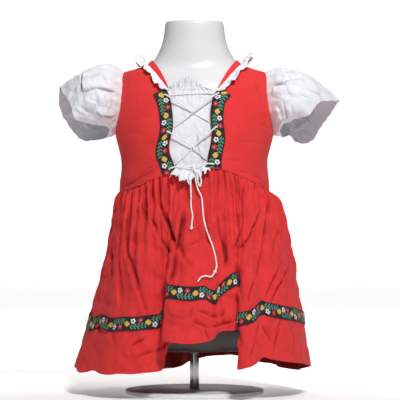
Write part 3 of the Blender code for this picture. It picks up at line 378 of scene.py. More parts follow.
def ribbon_material():
    made, tree, shader = new_material(
        "flower ribbon", 0.66, Specular_IOR_Level=0.25, Sheen_Weight=0.04, Sheen_Roughness=0.4
    )
    raw_u, raw_v = uv_parts(tree)
    u, v = (
        maths(tree, "MULTIPLY", maths(tree, "SNAP", part, RIBBON_THREAD), MM) for part in (raw_u, raw_v)
    )
    fold = maths(tree, "FLOOR", maths(tree, "DIVIDE", u, HALF_REPEAT))
    side = maths(tree, "MULTIPLY_ADD", maths(tree, "PINGPONG", fold, 1.0), -2.0, 1.0)
    s = maths(tree, "SUBTRACT", u, maths(tree, "MULTIPLY", fold, HALF_REPEAT))
    w = maths(tree, "MULTIPLY", maths(tree, "SUBTRACT", v, RIBBON_WIDTH / 2 * MM), side)
    colour = mix(tree, object_noise(tree, 400.0), BLACK, tuple(2.2 * part for part in BLACK))

    # The spray: a stem with a pair of slanted leaves at each step
    from_stem = maths(tree, "ABSOLUTE", maths(tree, "SUBTRACT", w, LEAF_LINE))
    in_step = maths(tree, "MODULO", s, LEAF_PITCH)
    lean = maths(tree, "MULTIPLY", in_step, math.cos(LEAF_SLANT))
    along_leaf = maths(tree, "MULTIPLY_ADD", from_stem, math.sin(LEAF_SLANT), lean)
    lean = maths(tree, "MULTIPLY", in_step, -math.sin(LEAF_SLANT))
    across_leaf = maths(tree, "MULTIPLY_ADD", from_stem, math.cos(LEAF_SLANT), lean)
    from_leaf_middle = maths(tree, "MULTIPLY_ADD", along_leaf, 1 / LEAF_HALF_LENGTH, -1.0)
    thin = maths(tree, "POWER", maths(tree, "ABSOLUTE", from_leaf_middle), 2.0)
    half_width = maths(tree, "MULTIPLY", maths(tree, "SUBTRACT", 1.0, thin), LEAF_HALF_WIDTH)
    leaf_edge = maths(tree, "SUBTRACT", maths(tree, "ABSOLUTE", across_leaf), half_width)
    leaf = step_below(tree, leaf_edge, 0.0)
    stem = step_below(tree, from_stem, STEM_HALF_WIDTH, 0.12)
    after_start = step_below(tree, maths(tree, "MULTIPLY", s, -1.0), -LEAF_START)
    in_spray = maths(tree, "MULTIPLY", step_below(tree, s, LEAF_END), after_start)
    green = maths(tree, "MULTIPLY", maths(tree, "MAXIMUM", leaf, stem), in_spray)
    tip = maths(tree, "MULTIPLY", along_leaf, 0.28)
    colour = mix(tree, green, colour, mix(tree, tip, LEAF_GREEN, LEAF_TIP))

    # The white and the red flower
    raised = green
    for place, light, deep, heart, count in (
        (WHITE_FLOWER, PETAL_WHITE, PETAL_SHADE, BLACK, 5),
        (RED_FLOWER, PETAL_RED, PETAL_PINK, HEART_PINK, 6),
    ):
        distance, direction = polar(tree, s, w, place[0], place[1])
        mask = petals(tree, distance, direction, place[2], count, 0.12)
        grooves = maths(tree, "COSINE", maths(tree, "MULTIPLY", direction, float(count)))
        shade = step_below(tree, grooves, -0.55, 0.4)
        ring = maths(tree, "MAXIMUM", shade, step_below(tree, distance, place[2] * 0.46, 0.5))
        petal = mix(tree, maths(tree, "MULTIPLY", ring, 0.75), light, deep)
        heart_mask = step_below(tree, distance, place[2] * 0.27, 0.2)
        colour = mix(tree, mask, colour, mix(tree, heart_mask, petal, heart))
        raised = maths(tree, "MAXIMUM", raised, mask)

    # The yellow bud at both ends of the half repeat
    near_end = maths(tree, "MINIMUM", s, maths(tree, "SUBTRACT", HALF_REPEAT, s))
    distance, direction = polar(tree, near_end, w, 0.0, 0.0)
    mask = petals(tree, distance, direction, BUD_RADIUS, 4, 0.08)
    swirl = maths(tree, "MULTIPLY_ADD", distance, 2.4, maths(tree, "MULTIPLY", direction, 2.0))
    lines = step_below(tree, maths(tree, "SINE", swirl), -0.45, 0.3)
    colour = mix(tree, mask, colour, mix(tree, maths(tree, "MULTIPLY", lines, 0.7), YELLOW, OCHRE))
    raised = maths(tree, "MAXIMUM", raised, mask)

    # The ribbon's folds get painted shade as well, down to black
    tree.links.new(painted_fold_shade(tree, colour, BLACK), shader.inputs["Base Color"])
    threads = weave(tree, raw_u, raw_v, RIBBON_THREAD)
    bump(tree, shader, maths(tree, "MULTIPLY_ADD", threads, 0.45, raised), 0.00022, 0.8)
    return made


flower_ribbon = ribbon_material()
print("whole repeat:", 2 * HALF_REPEAT, "mm")

# %% [markdown]
# Cord, form and stand
#
# The lace is a braided cotton cord, so its bump is a set of slanting ridges round the cord. The form is a
# smooth moulded shell with a satin gloss and faint scuffs, and its colour turns a dark grey-brown below a set
# height. The pole is polished metal, and the base has a semi-gloss paint. None of them has one even colour
# in life, so each gets a little unevenness.

# %% Materials for cord, form and stand
DARK_BELOW_HEIGHT = 0.088
LOW_END_COLOUR = (0.060, 0.045, 0.042)
LOW_END_BLEND = 0.0006
BRAID_PITCH = 0.0011
BRAID_TURNS = 4.0


def cord_material():
    made, tree, shader = new_material("cotton cord", 0.8, Sheen_Weight=0.05, Specular_IOR_Level=0.2)
    along, around = uv_parts(tree)
    ridges = []
    for turn in (1.0, -1.0):
        steps = maths(tree, "DIVIDE", along, BRAID_PITCH)
        slanted = maths(tree, "MULTIPLY_ADD", around, turn * BRAID_TURNS, steps)
        ridges.append(maths(tree, "ABSOLUTE", maths(tree, "SINE", maths(tree, "MULTIPLY", slanted, math.pi))))
    braid = maths(tree, "MAXIMUM", *ridges)
    grime = object_noise(tree, 160.0, 3.0)
    tone = maths(tree, "MULTIPLY_ADD", braid, -0.5, maths(tree, "ADD", grime, 0.25))
    tree.links.new(mix(tree, tone, (0.93, 0.92, 0.92), (0.74, 0.71, 0.70)), shader.inputs["Base Color"])
    bump(tree, shader, braid, 0.00035)
    return made


def moulded(name, light, deep, low, high, **constants):
    """A smooth hard finish with faint scuffs in its colour, gloss and surface."""
    made, tree, shader = new_material(name, low, **constants)
    clouds = object_noise(tree, 22.0, 4.0)
    tree.links.new(mix(tree, clouds, light, deep), shader.inputs["Base Color"])
    scuffs = object_noise(tree, 300.0, 5.0)
    gloss = add(tree, "ShaderNodeMapRange", scuffs, None, None, low, high)
    tree.links.new(gloss, shader.inputs["Roughness"])
    bump(tree, shader, clouds, 0.0008, 0.25)
    return made


cotton_cord = cord_material()
form_shell = moulded("moulded shell", (0.70, 0.70, 0.71), (0.67, 0.67, 0.68), 0.31, 0.42)
shell_tree = form_shell.node_tree
shell_height = split_place(shell_tree, object_place(shell_tree))[2]
# The shell's colour turns dark grey-brown below a set height
below_dark_height = step_below(shell_tree, shell_height, DARK_BELOW_HEIGHT, LOW_END_BLEND)
shell_colour = shell_tree.nodes["Principled BSDF"].inputs["Base Color"]
shell_upper_colour = shell_colour.links[0].from_socket
shell_tree.links.new(mix(shell_tree, below_dark_height, shell_upper_colour, LOW_END_COLOUR), shell_colour)
pole_chrome = moulded("polished pole", (0.50, 0.50, 0.52), (0.42, 0.42, 0.44), 0.12, 0.26, Metallic=1.0)
base_paint = moulded("painted base", (0.82, 0.82, 0.83), (0.77, 0.77, 0.78), 0.34, 0.5)
print("materials:", len(bpy.data.materials))

# %% [markdown]
# Reading a cloth wall back as rows and columns
#
# The frame holds each cloth piece as a closed wall of triangles. Each side of the wall was made from rows
# and columns of points, with every small quad cut along the same diagonal. So the place of a neighbouring
# point follows from a triangle like the fourth corner of a parallelogram. Walking from triangle to triangle
# gives every point its row and column again, and a grid is far easier to refine, crease and map than
# triangles. Remeshing would be quicker to write, but it would lose the folds and the direction of the cloth.

# %% The two broad sides of a wall
SAME_PLACE = 1e-5
RIM_WIDTHS = np.arange(0.0008, 0.0030, 0.00004)
RIM_ANGLES = range(84, 30, -2)
# Rows and columns of points that the walls of the frame were made from
FRAME_GRIDS = {
    "bodice_back": (16, 21), "neck_band": (2, 35), "insert": (11, 25), "skirt": (10, 61), "sleeve": (6, 40)
}
ROLES = np.array(((0, 0), (0, 1), (1, 1)))


def merged(node):
    """An editable copy of a node's mesh with its loose triangles joined."""
    work = bmesh.new()
    work.from_mesh(NODES[node].data)
    bmesh.ops.remove_doubles(work, verts=work.verts, dist=SAME_PLACE)
    work.faces.ensure_lookup_table()
    return work


def connected(faces, sharpest=math.pi):
    """The faces in groups that hang together over edges no sharper than this, the smallest group first."""
    left, groups = set(faces), []
    for seed in faces:
        if seed not in left:
            continue
        left.discard(seed)
        group, todo = [], [seed]
        while todo:
            face = todo.pop()
            group.append(face)
            for edge in face.edges:
                if edge.calc_face_angle() > sharpest:
                    continue
                for other in edge.link_faces:
                    if other in left:
                        left.discard(other)
                        todo.append(other)
        groups.append(group)
    return sorted(groups, key=len)


def with_flat_neighbours(group, sharpest=math.radians(50)):
    """A group of faces with all that joins it over edges that aren't sharp."""
    inside, todo = set(group), list(group)
    for face in todo:
        for edge in face.edges:
            if edge.calc_face_angle() < sharpest:
                new = [other for other in edge.link_faces if other not in inside]
                inside.update(new)
                todo += new
    return todo


def likely_sides(work, rows, columns, closed):
    """Face groups that may be one side of a wall, told from its rims by width or by sharp edges."""
    whole = 2 * (rows - 1) * (columns if closed else columns - 1)
    narrow = {f: 2 * f.calc_area() / max(e.calc_length() for e in f.edges) for f in work.faces}
    for limit in RIM_WIDTHS:
        groups = connected([face for face in work.faces if narrow[face] >= limit])
        yield from (group for group in groups if len(group) == whole)
        for group in groups:
            if 0.9 * whole <= len(group) < whole:
                grown = with_flat_neighbours(group)
                if len(grown) == whole:
                    yield grown
    for degrees in RIM_ANGLES:
        groups = connected(work.faces[:], math.radians(degrees))
        yield from (group for group in groups if len(group) == whole)


# %% The walk over one side
def walk(group):
    """A whole-number place for each point of one side of a wall."""
    inside = set(group)
    a, b, c = group[0].verts
    places = {group[0]: {a: (0, 0), b: (1, 0), c: (0, 1)}}
    todo = [group[0]]
    for face in todo:
        known = places[face]
        for edge in face.edges:
            u, v = edge.verts
            far = next(vert for vert in face.verts if vert not in (u, v))
            for other in edge.link_faces:
                if other in inside and other not in places:
                    new = next(vert for vert in other.verts if vert not in (u, v))
                    step = tuple(known[u][k] + known[v][k] - known[far][k] for k in (0, 1))
                    places[other] = {u: known[u], v: known[v], new: step}
                    todo.append(other)
    found = {}
    for known in places.values():
        for vert, place in known.items():
            found.setdefault(vert, place)
    return found


def side_grid(group, rows, columns, closed):
    """The points of one side of a wall by row and column."""
    found = walk(group)
    steps = np.array(list(found.values()))
    points = np.array([vert.co for vert in found])
    grids = []
    for roles in itertools.permutations(ROLES):
        place = roles[0] + steps[:, :1] * (roles[1] - roles[0]) + steps[:, 1:] * (roles[2] - roles[0])
        place = place - place.min(axis=0)
        if closed:
            place[:, 1] %= columns
        fills = len(np.unique(place, axis=0)) == rows * columns
        if fills and place[:, 0].max() == rows - 1 and place[:, 1].max() == columns - 1:
            grid = np.zeros((rows, columns, 3))
            grid[place[:, 0], place[:, 1]] = points
            grids.append(grid)
    return min(grids, key=lambda grid: np.linalg.norm(np.diff(grid, axis=0), axis=2).sum(), default=None)


# %% The outer side, turned the right way round
def lowest(row):
    return row[:, 2].mean()


def innermost(row):
    return np.hypot(row[:, 0], row[:, 1]).mean()


def nearest_middle(row):
    return np.abs(row[:, 0]).mean()


def unit(vectors):
    return vectors / np.maximum(np.linalg.norm(vectors, axis=-1, keepdims=True), 1e-12)


def distances(points):
    """How far along a row of points each of them lies."""
    return np.concatenate([[0.0], np.cumsum(np.linalg.norm(np.diff(points, axis=0), axis=1))])


def read_along(points, lengths, places):
    """A row of points, lying at these lengths, read at other places along it."""
    return np.stack([np.interp(places, lengths, points[:, k]) for k in range(3)], axis=-1)


def outward(grid, closed=False):
    """Directions straight out of a grid whose columns run to the right as seen from outside."""
    up = np.gradient(grid, axis=0)
    if closed:
        across = np.roll(grid, -1, axis=1) - np.roll(grid, 1, axis=1)
    else:
        across = np.gradient(grid, axis=1)
    return unit(np.cross(across, up))


def read_wall(node, shape, inside, first_row, closed=False):
    """The outer side of a cloth wall as rows and columns, turned the right way round."""
    rows, columns = FRAME_GRIDS[shape]
    work = merged(node)
    inside = Vector(inside)
    for group in likely_sides(work, rows, columns, closed):
        facing_out = sum(
            face.calc_area() * (face.normal @ (face.calc_center_median() - inside)) for face in group
        )
        grid = side_grid(group, rows, columns, closed) if facing_out > 0 else None
        if grid is not None:
            break
    else:
        raise ValueError(f"the outer side of {node} can't be told from its rims")
    work.free()
    inside = np.array(inside)
    if first_row(grid[0]) > first_row(grid[-1]):
        grid = grid[::-1]
    if (outward(grid, closed) * (grid - inside)).sum() < 0:
        grid = grid[:, ::-1]
    if closed:
        grid = np.roll(grid, -int(np.argmax(grid[0, :, 2])), axis=1)
    print(node, grid.shape[:2])
    return grid


# %% Smooth curves through a grid
def smooth_rows(grid, known, at):
    """A grid read at other places along its first axis, on smooth curves through its rows."""
    known, at = np.asarray(known, float), np.asarray(at, float)
    steps = np.diff(known)[:, None, None]
    slopes = np.diff(grid, axis=0) / steps
    inner = (slopes[:-1] * steps[1:] + slopes[1:] * steps[:-1]) / (steps[:-1] + steps[1:])
    tangents = np.concatenate([slopes[:1], inner, slopes[-1:]])
    cell = np.clip(np.searchsorted(known, at, side="right") - 1, 0, len(steps) - 1)
    part = ((at - known[cell])[:, None, None]) / steps[cell]
    square, cube = part**2, part**3
    return (
        (2 * cube - 3 * square + 1) * grid[cell]
        + (cube - 2 * square + part) * steps[cell] * tangents[cell]
        + (3 * square - 2 * cube) * grid[cell + 1]
        + (cube - square) * steps[cell] * tangents[cell + 1]
    )


def row_places(grid):
    """How far along the cloth each row lies, on average."""
    lengths = np.linalg.norm(np.diff(grid, axis=0), axis=2).mean(axis=1)
    return np.concatenate([[0.0], np.cumsum(lengths)])


def more_columns(grid, shares, closed=False):
    """A grid read at other shares of its way across."""
    turned = grid.transpose(1, 0, 2)
    count = len(turned)
    if closed:
        turned = np.concatenate([turned[-2:], turned, turned[:3]])
        return smooth_rows(turned, np.arange(-2, count + 3), np.asarray(shares) * count).transpose(1, 0, 2)
    return smooth_rows(turned, np.arange(count), np.asarray(shares) * (count - 1)).transpose(1, 0, 2)


def finer(grid, rows, columns, closed=False):
    known = row_places(grid)
    shares = np.arange(columns) / (columns if closed else columns - 1)
    return more_columns(smooth_rows(grid, known, np.linspace(0, known[-1], rows)), shares, closed)


# %% [markdown]
# From a grid to a piece of cloth
#
# A piece of cloth is a thin wall: the grid is its outer side, and the inner side is the same grid moved in
# along the surface's own directions. Its UV map is laid flat in metres from real distances. A modifier
# could thicken it too, but here both sides keep the same rows, so ribbons and hems can follow them. Each
# point also keeps how deep in a fold it lies, for the shade painted into the cotton's colour.

# %% Cloth from a grid
def closed_round(grid):
    """A tube's grid with its first column again at the end."""
    return np.concatenate([grid, grid[:, :1]], axis=1)


def flat_map(grid, closed=False):
    """How far right and how far up each point of the cloth lies when it is laid flat, in metres."""
    wide = closed_round(grid) if closed else grid
    across = np.linalg.norm(np.diff(wide, axis=1), axis=2).mean(axis=0)
    up = np.linalg.norm(np.diff(grid, axis=0), axis=2)
    right = np.concatenate([[0.0], np.cumsum(across)])
    high = np.concatenate([np.zeros((1, grid.shape[1])), np.cumsum(up, axis=0)])
    if closed:
        high = closed_round(high)
    return np.stack([np.broadcast_to(right, high.shape), high], axis=-1)


def write_folds(mesh, folds):
    """Stores how deep in a fold each point lies, from 0 to 1, for the shade painted into its colour."""
    layer = mesh.attributes.new("fold", "FLOAT", "POINT")
    layer.data.foreach_set("value", np.clip(folds, 0, 1).astype(np.float32).ravel())


def new_piece(name, points, faces, maps, finish):
    """A smooth piece on the part's one body, from points, faces and the UV place of each corner."""
    mesh = bpy.data.meshes.new(name)
    mesh.from_pydata(points.tolist(), [], faces)
    layer = mesh.uv_layers.new(name="UVMap")
    layer.data.foreach_set("uv", np.array(maps, np.float32).ravel())
    mesh.shade_smooth()
    mesh.set_sharp_from_angle(angle=math.radians(60))
    mesh.materials.append(finish)
    made = in_scene(name, mesh)
    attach(made, "root")
    return made


def wall(name, grid, thickness, finish, closed=False, flat=None, folds=None, dim=0.0):
    """A thin wall of quads: the grid is its outer side, flat its UV map in metres, dim paints shade on the
    inside.
    """
    rows, columns = grid.shape[:2]
    count = rows * columns
    flat = flat_map(grid, closed) if flat is None else flat
    inner = grid - outward(grid, closed) * thickness
    points = np.vstack([grid.reshape(-1, 3), inner.reshape(-1, 3)])
    last = columns if closed else columns - 1
    quads, maps = [], []

    def add_quad(corners):
        quads.append([layer * count + row * columns + place % columns for row, place, layer in corners])
        maps.append([flat[row, place] for row, place, _ in corners])

    for row in range(rows - 1):
        for place in range(last):
            ring = [(row, place), (row, place + 1), (row + 1, place + 1), (row + 1, place)]
            add_quad([(r, p, 0) for r, p in ring])
            add_quad([(r, p, 1) for r, p in ring[::-1]])
    for place in range(last):
        add_quad([(0, place, 1), (0, place + 1, 1), (0, place + 1, 0), (0, place, 0)])
        top = rows - 1
        add_quad([(top, place, 0), (top, place + 1, 0), (top, place + 1, 1), (top, place, 1)])
    if not closed:
        for row in range(rows - 1):
            add_quad([(row, 0, 1), (row, 0, 0), (row + 1, 0, 0), (row + 1, 0, 1)])
            side = columns - 1
            add_quad([(row, side, 0), (row, side, 1), (row + 1, side, 1), (row + 1, side, 0)])
    made = new_piece(name, points, quads, maps, finish)
    if folds is not None:
        write_folds(made.data, np.stack([folds, np.maximum(folds, dim)]))
    print(name, len(quads), "quads")
    return made


def stand_in(piece, slot, *nodes):
    """The piece takes the place of these nodes of the frame, which are hidden; the slot is not used."""
    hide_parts(*nodes)
    return piece


# %% [markdown]
# Creases
#
# Real cloth never lies as smooth as a curve through a few points. Cloth simulation would drape it, but its
# folds fall where they like, and here they are known. So each crease is one row of a short table in
# millimetres, seen from the front or from the back: a narrow trough with a steep ridge along one side,
# deepest in its middle and fading at both ends. A width below nought puts the ridge on the other side. Every
# layer at a place moves with the same crease, so no layer comes through another. Crumpled cotton also has
# flat patches with sharp lines between them, which the size of a smooth wave gives where it changes sign.

# %% The crease field
CREASE_BEND = 0.5
CREASE_END_STEEPNESS, CREASE_END_START = 3.2, 0.25
# The creases of one face fade out over this depth at the sides of the body
FACE_FADE = 0.02


def crease_field(points, table, face, profile=None):
    """How far the creases of a table press the cloth in at each point; face is -1 in front, 1 behind."""
    profile = profile or trough_and_ridge
    x, z = points[..., 0] * MM, points[..., 2] * MM
    pressed = np.zeros(points.shape[:-1])
    for x_start, z_start, x_end, z_end, width, deepest in table:
        run_x, run_z = x_end - x_start, z_end - z_start
        length = math.hypot(run_x, run_z)
        off_x, off_z = x - x_start, z - z_start
        along = (off_x * run_x + off_z * run_z) / length**2
        turn = CREASE_BEND * math.sin(3.0 * x_start + z_end)
        bend = turn * np.sin(math.pi * np.clip(along, 0, 1))
        across = (off_x * run_z - off_z * run_x) / length / width + bend
        start, end = (
            np.clip(CREASE_END_STEEPNESS * part + CREASE_END_START, 0, 1) for part in (along, 1 - along)
        )
        ends = start * end
        pressed += deepest * ends**1.5 * profile(across)
    shown = np.clip(face * points[..., 1] / FACE_FADE, 0, 1)
    return pressed * shown / MM


def trough_and_ridge(across):
    trough = np.exp(-(((across + 0.2) / 0.85) ** 2))
    ridge = np.exp(-np.clip(across - 1.0, 0, None) / 2.8) / (1 + np.exp(4 * (0.7 - across)))
    return trough - 0.9 * ridge


def deep_line(across):
    """Only the narrow bottom of a crease, where hardly any light comes."""
    return np.exp(-(((across - 0.1) / 0.44) ** 2))


def creases_all_round(points, front_table, back_table, profile=None):
    front = crease_field(points, front_table, -1, profile)
    return front + crease_field(points, back_table, 1, profile)


# Crumpled patches lie this high on average
CRUMPLE_MIDDLE = 0.7


def unevenness(points, size, seed=0.0):
    """Soft irregular waves between about -1 and 1, of roughly this size in metres."""
    x, y, z = (points[..., k] / size for k in range(3))
    waves = (
        np.sin(1.9 * x + 1.1 * z + seed) * np.cos(1.3 * y - 2.3 * z + 2 * seed)
        + 0.6 * np.sin(3.1 * z - 2.2 * x + 1.7 * y + 3 * seed)
        + 0.5 * np.cos(4.3 * x + 1.2 * y + 2.6 * z - seed)
    )
    return waves / 2


def crumple(points, size, seed=0.0):
    """Flat patches at 1 with sharp creases down to 0 between them, of roughly this size in metres."""
    first = np.abs(unevenness(points, size, seed))
    second = np.abs(unevenness(points[..., [1, 2, 0]], size * 0.7, seed + 4))
    return np.clip(first / 0.35, 0, 1) * 0.65 + np.clip(second / 0.30, 0, 1) * 0.35


print("crease and unevenness fields are ready")

# %% [markdown]
# The dress form and its stand
#
# The form is a moulded shell with no limbs. The frame's own form has the right shape in a few flat
# sections, so a copy is joined, made quads and rounded by subdivision, with its flat cuts kept crisp.
# The pole and the round base are turned parts, so they start as cylinders at their real size.

# %% Form
FLAT_CUT_ANGLE = math.radians(42)


def activate(made):
    bpy.ops.object.select_all(action="DESELECT")
    made.select_set(True)
    bpy.context.view_layer.objects.active = made


def rounded_copy(name, node, levels, finish):
    """A copy of a node as quads, rounded by subdivision, its sharp edges kept."""
    work = merged(node)
    bmesh.ops.join_triangles(
        work,
        faces=work.faces[:],
        angle_face_threshold=FLAT_CUT_ANGLE,
        angle_shape_threshold=math.radians(70),
    )
    crisp = work.edges.layers.float.new("crease_edge")
    for edge in work.edges:
        if edge.calc_face_angle(0.0) > FLAT_CUT_ANGLE:
            edge[crisp] = 1.0
    mesh = bpy.data.meshes.new(name)
    work.to_mesh(mesh)
    work.free()
    made = in_scene(name, mesh)
    mesh.materials.append(finish)
    smooth = made.modifiers.new("rounding", "SUBSURF")
    smooth.levels = smooth.render_levels = levels
    activate(made)
    bpy.ops.object.modifier_apply(modifier=smooth.name)
    bpy.ops.object.shade_smooth_by_angle(angle=FLAT_CUT_ANGLE)
    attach(made, "root")
    print(name, len(made.data.polygons), "faces")
    return made


stand_in(rounded_copy("form_body", "dress_form", 2, form_shell), "form_shell", "dress_form")

# %% Pole and base
def turned(name, node, sides, edge, finish):
    """A turned cylinder in a node's place, with rounded edges."""
    low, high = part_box(node)
    bpy.ops.object.select_all(action="DESELECT")
    bpy.ops.mesh.primitive_cylinder_add(
        vertices=sides, radius=(high.x - low.x) / 2, depth=high.z - low.z, location=(low + high) / 2
    )
    made = bpy.context.object
    made.name = made.data.name = name
    bpy.ops.object.transform_apply(location=True)
    rim = made.modifiers.new("rim", "BEVEL")
    rim.width, rim.segments, rim.limit_method = edge, 3, "ANGLE"
    bpy.ops.object.modifier_apply(modifier=rim.name)
    bpy.ops.object.shade_smooth_by_angle(angle=math.radians(30))
    made.data.materials.append(finish)
    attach(made, "root")
    print(name, len(made.data.polygons), "faces")
    return made


stand_in(turned("pole", "stand_pole", 64, 0.0004, pole_chrome), "pole_chrome", "stand_pole")
stand_in(turned("base", "stand_base", 128, 0.0016, base_paint), "base_paint", "stand_base")

# %% [markdown]
# The bodice
#
# The bodice is cut from a back and two fronts. It is tight, so short stress creases run in from the ribbons,
# the armholes and the side seams. The back is a plain grid. The fronts have holes for the lace, so they are
# rounded copies instead, creased by the same field as the ribbons that lie on them.

# %% Bodice creases
# Columns: x and z at the start, x and z at the end, width and depth, all in millimetres
BODICE_FRONT_CREASES = (
    (-71, 322, -45, 329, 2.2, 0.5),
    (-69, 295, -44, 303, 2.2, 0.8),
    (-87, 269, -45, 293, 3.0, 1.3),
    (-78, 279, -45, 298, 2.2, 0.8),
    (-93, 268, -62, 275, 2.5, 0.9),
    (-81, 353, -54, 358, 3.0, 0.4),
    (-97, 315, -86, 324, 2.4, 0.5),
    (-81, 411, -61, 416, 2.5, 0.7),
    (-88, 338, -60, 334, 3.0, 0.5),
    (39, 303, 60, 300, 1.8, 0.9),
    (83, 363, 94, 355, 2.0, 0.8),
    (82, 349, 100, 340, 2.4, 1.0),
    (84, 312, 98, 326, 2.2, 0.7),
    (86, 287, 98, 302, 2.4, 0.6),
    (77, 403, 86, 378, 3.0, 0.5),
    (43, 282, 66, 290, 2.0, 0.6),
    (50, 277, 90, 268, 2.6, 0.8),
    (50, 330, 80, 326, 3.2, 0.5),
    (-103, 265, -72, 277, 1.4, 0.9),
    (-78, 275, -46, 287, 1.4, 0.8),
    (44, 291, 76, 283, 1.4, 0.7),
    (70, 285, 101, 270, 1.4, 0.9),
)
BODICE_BACK_CREASES = (
    (-80, 300, -40, 308, 3.0, 0.8),
    (-85, 285, -30, 291, 2.8, 1.1),
    (20, 296, 75, 303, 3.0, 0.9),
    (35, 279, 90, 287, 2.6, 1.0),
    (-70, 345, -92, 362, 2.6, 0.8),
    (66, 350, 92, 366, 2.6, 0.9),
    (-30, 275, 25, 278, 2.4, 0.7),
    (-45, 330, 40, 326, 4.0, 0.5),
    (-88, 318, -60, 326, 2.6, 0.6),
)
FOLD_DEPTH = 0.0032
BODICE_WAVES = 0.0004
BODICE_WAVE_SIZE = 0.022
BODY_DEPTH_SHARE = 0.78


def off_body(points):
    """Level directions away from the middle of the body at each point."""
    return unit(points * np.array((BODY_DEPTH_SHARE, 1.0 / BODY_DEPTH_SHARE, 0.0)))


def bodice_folds(points, profile=None):
    return creases_all_round(points, BODICE_FRONT_CREASES, BODICE_BACK_CREASES, profile)


def creased_bodice(points):
    """Points of any bodice layer after its creases."""
    pressed = bodice_folds(points)
    waves = BODICE_WAVES * unevenness(points, BODICE_WAVE_SIZE, 0.7)
    return points + off_body(points) * (waves - pressed)[..., None]


# %% Stating the cut of each piece
def state_cut(piece, width, length, area, held, rests_on):
    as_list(rests_on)
    print(f"{piece.name}: {width * MM:.0f} x {length * MM:.0f} mm, {area * 1e4:.0f} square centimetres")


def declare(piece, grid, held, rests_on, closed=False):
    """States a piece's flat cut: its widest row by its longest column, and the area of its cloth."""
    wide = closed_round(grid) if closed else grid
    width = np.linalg.norm(np.diff(wide, axis=1), axis=2).sum(axis=1).max()
    length = np.linalg.norm(np.diff(grid, axis=0), axis=2).sum(axis=0).max()
    across, up = np.diff(wide, axis=1)[:-1], np.diff(wide, axis=0)[:, :-1]
    area = np.linalg.norm(np.cross(across, up), axis=2).sum()
    state_cut(piece, width, length, area, held, rests_on)


# %% Bodice back
RED_CLOTH = 0.0010
BACK_GRID = (96, 132)
BODY_MIDDLE = (0.0, 0.0, 0.34)

back_coarse = read_wall("bodice_back", "bodice_back", BODY_MIDDLE, lowest)
back_smooth = finer(back_coarse, *BACK_GRID)
back_grid = creased_bodice(back_smooth)
back_folds = bodice_folds(back_smooth, deep_line) / FOLD_DEPTH
bodice_back = wall("back", back_grid, RED_CLOTH, red_cotton, folds=back_folds)
stand_in(bodice_back, "red_cotton", "bodice_back")
declare(bodice_back, back_grid, "stretched", ["dress_form"])

# %% Bodice fronts
ROUND_BODY = 0.09
FRAME_CLOTH = 0.0012
CUTS = 61


def mesh_points(mesh):
    points = np.zeros(len(mesh.vertices) * 3)
    mesh.vertices.foreach_get("co", points)
    return points.reshape(-1, 3)


def wrap_map(mesh):
    """A UV map in metres for cloth wrapped round the body."""
    layer = mesh.uv_layers.get("UVMap") or mesh.uv_layers.new(name="UVMap")
    corners = np.zeros(len(mesh.loops), int)
    mesh.loops.foreach_get("vertex_index", corners)
    places = mesh_points(mesh)[corners]
    around = np.arctan2(places[:, 0], -places[:, 1]) * ROUND_BODY
    layer.data.foreach_set("uv", np.stack([around, places[:, 2]], axis=1).astype(np.float32).ravel())


def crease_front(mesh):
    points = mesh_points(mesh)
    write_folds(mesh, bodice_folds(points, deep_line) / FOLD_DEPTH)
    mesh.vertices.foreach_set("co", creased_bodice(points).ravel())
    mesh.update()


def longest_cut(points, triangles, levels):
    """The longest of the lines in which a wall crosses some surfaces, each given as a level at each point."""
    longest = 0.0
    for level in levels:
        ends = []
        for first, second in ((0, 1), (1, 2), (2, 0)):
            a, b = triangles[:, first], triangles[:, second]
            crossed = (level[a] > 0) != (level[b] > 0)
            share = level[a] / np.where(crossed, level[a] - level[b], 1.0)
            ends.append((crossed, points[a] + share[:, None] * (points[b] - points[a])))
        ring = 0.0
        for (crossed, place), (other_crossed, other_place) in itertools.combinations(ends, 2):
            ring += np.linalg.norm(place - other_place, axis=1)[crossed & other_crossed].sum()
        longest = max(longest, ring / 2 - FRAME_CLOTH)
    return longest


def flat_size(mesh):
    """Width and length of a body piece along its cloth, from level cuts and from upright cuts."""
    mesh.calc_loop_triangles()
    triangles = np.array([triangle.vertices[:] for triangle in mesh.loop_triangles])
    points = mesh_points(mesh)
    heights = np.linspace(points[:, 2].min(), points[:, 2].max(), CUTS)[1:-1]
    turn = np.arctan2(points[:, 1], points[:, 0])
    angles = np.linspace(turn.min(), turn.max(), CUTS)[1:-1]
    width = longest_cut(points, triangles, (points[:, 2] - height for height in heights))
    return width, longest_cut(points, triangles, (turn - angle for angle in angles))


for side_name in ("left", "right"):
    front = rounded_copy(f"front_{side_name}", f"bodice_front_{side_name}", 3, red_cotton)
    wrap_map(front.data)
    crease_front(front.data)
    stand_in(front, "red_cotton", f"bodice_front_{side_name}")
    area = sum(face.area for face in front.data.polygons) / 2
    state_cut(front, *flat_size(front.data), area, "stretched", ["dress_form"])

# %% [markdown]
# Flower ribbon on the bodice fronts
#
# The ribbon is sewn along both edges of the opening, over the red cloth. Its node has three holes for the
# lace, which break its rows, so only its two long edges are read: they are the corners of the wall's outer
# side, in order. Rows are then drawn from edge to edge with the bulge of the body between them. The holes
# aren't cut again, because the lace goes into the ribbon there and fills them.

# %% Edges of a ribbon that has holes
RIBBON_ROWS = 9
RIBBON_CLOTH = 0.0007
FACES_OUT = 0.6


def outer_faces(work):
    """The faces of a body piece that look away from the body."""
    found = []
    for face in work.faces:
        out = off_body(np.array(face.calc_center_median()))
        if face.normal @ Vector(out) > FACES_OUT:
            found.append(face)
    return found


def outline(faces):
    """The longest closed row of border points round some faces."""
    inside = set(faces)
    follow = {}
    for face in faces:
        for loop in face.loops:
            if all(other is face or other not in inside for other in loop.edge.link_faces):
                follow[loop.vert] = loop.link_loop_next.vert
    rings = []
    left = set(follow)
    while left:
        start = vert = min(left, key=lambda v: v.index)
        ring = []
        while vert in left:
            left.discard(vert)
            ring.append(np.array(vert.co))
            vert = follow[vert]
        rings.append(ring)
    return np.array(max(rings, key=lambda ring: distances(ring)[-1]))


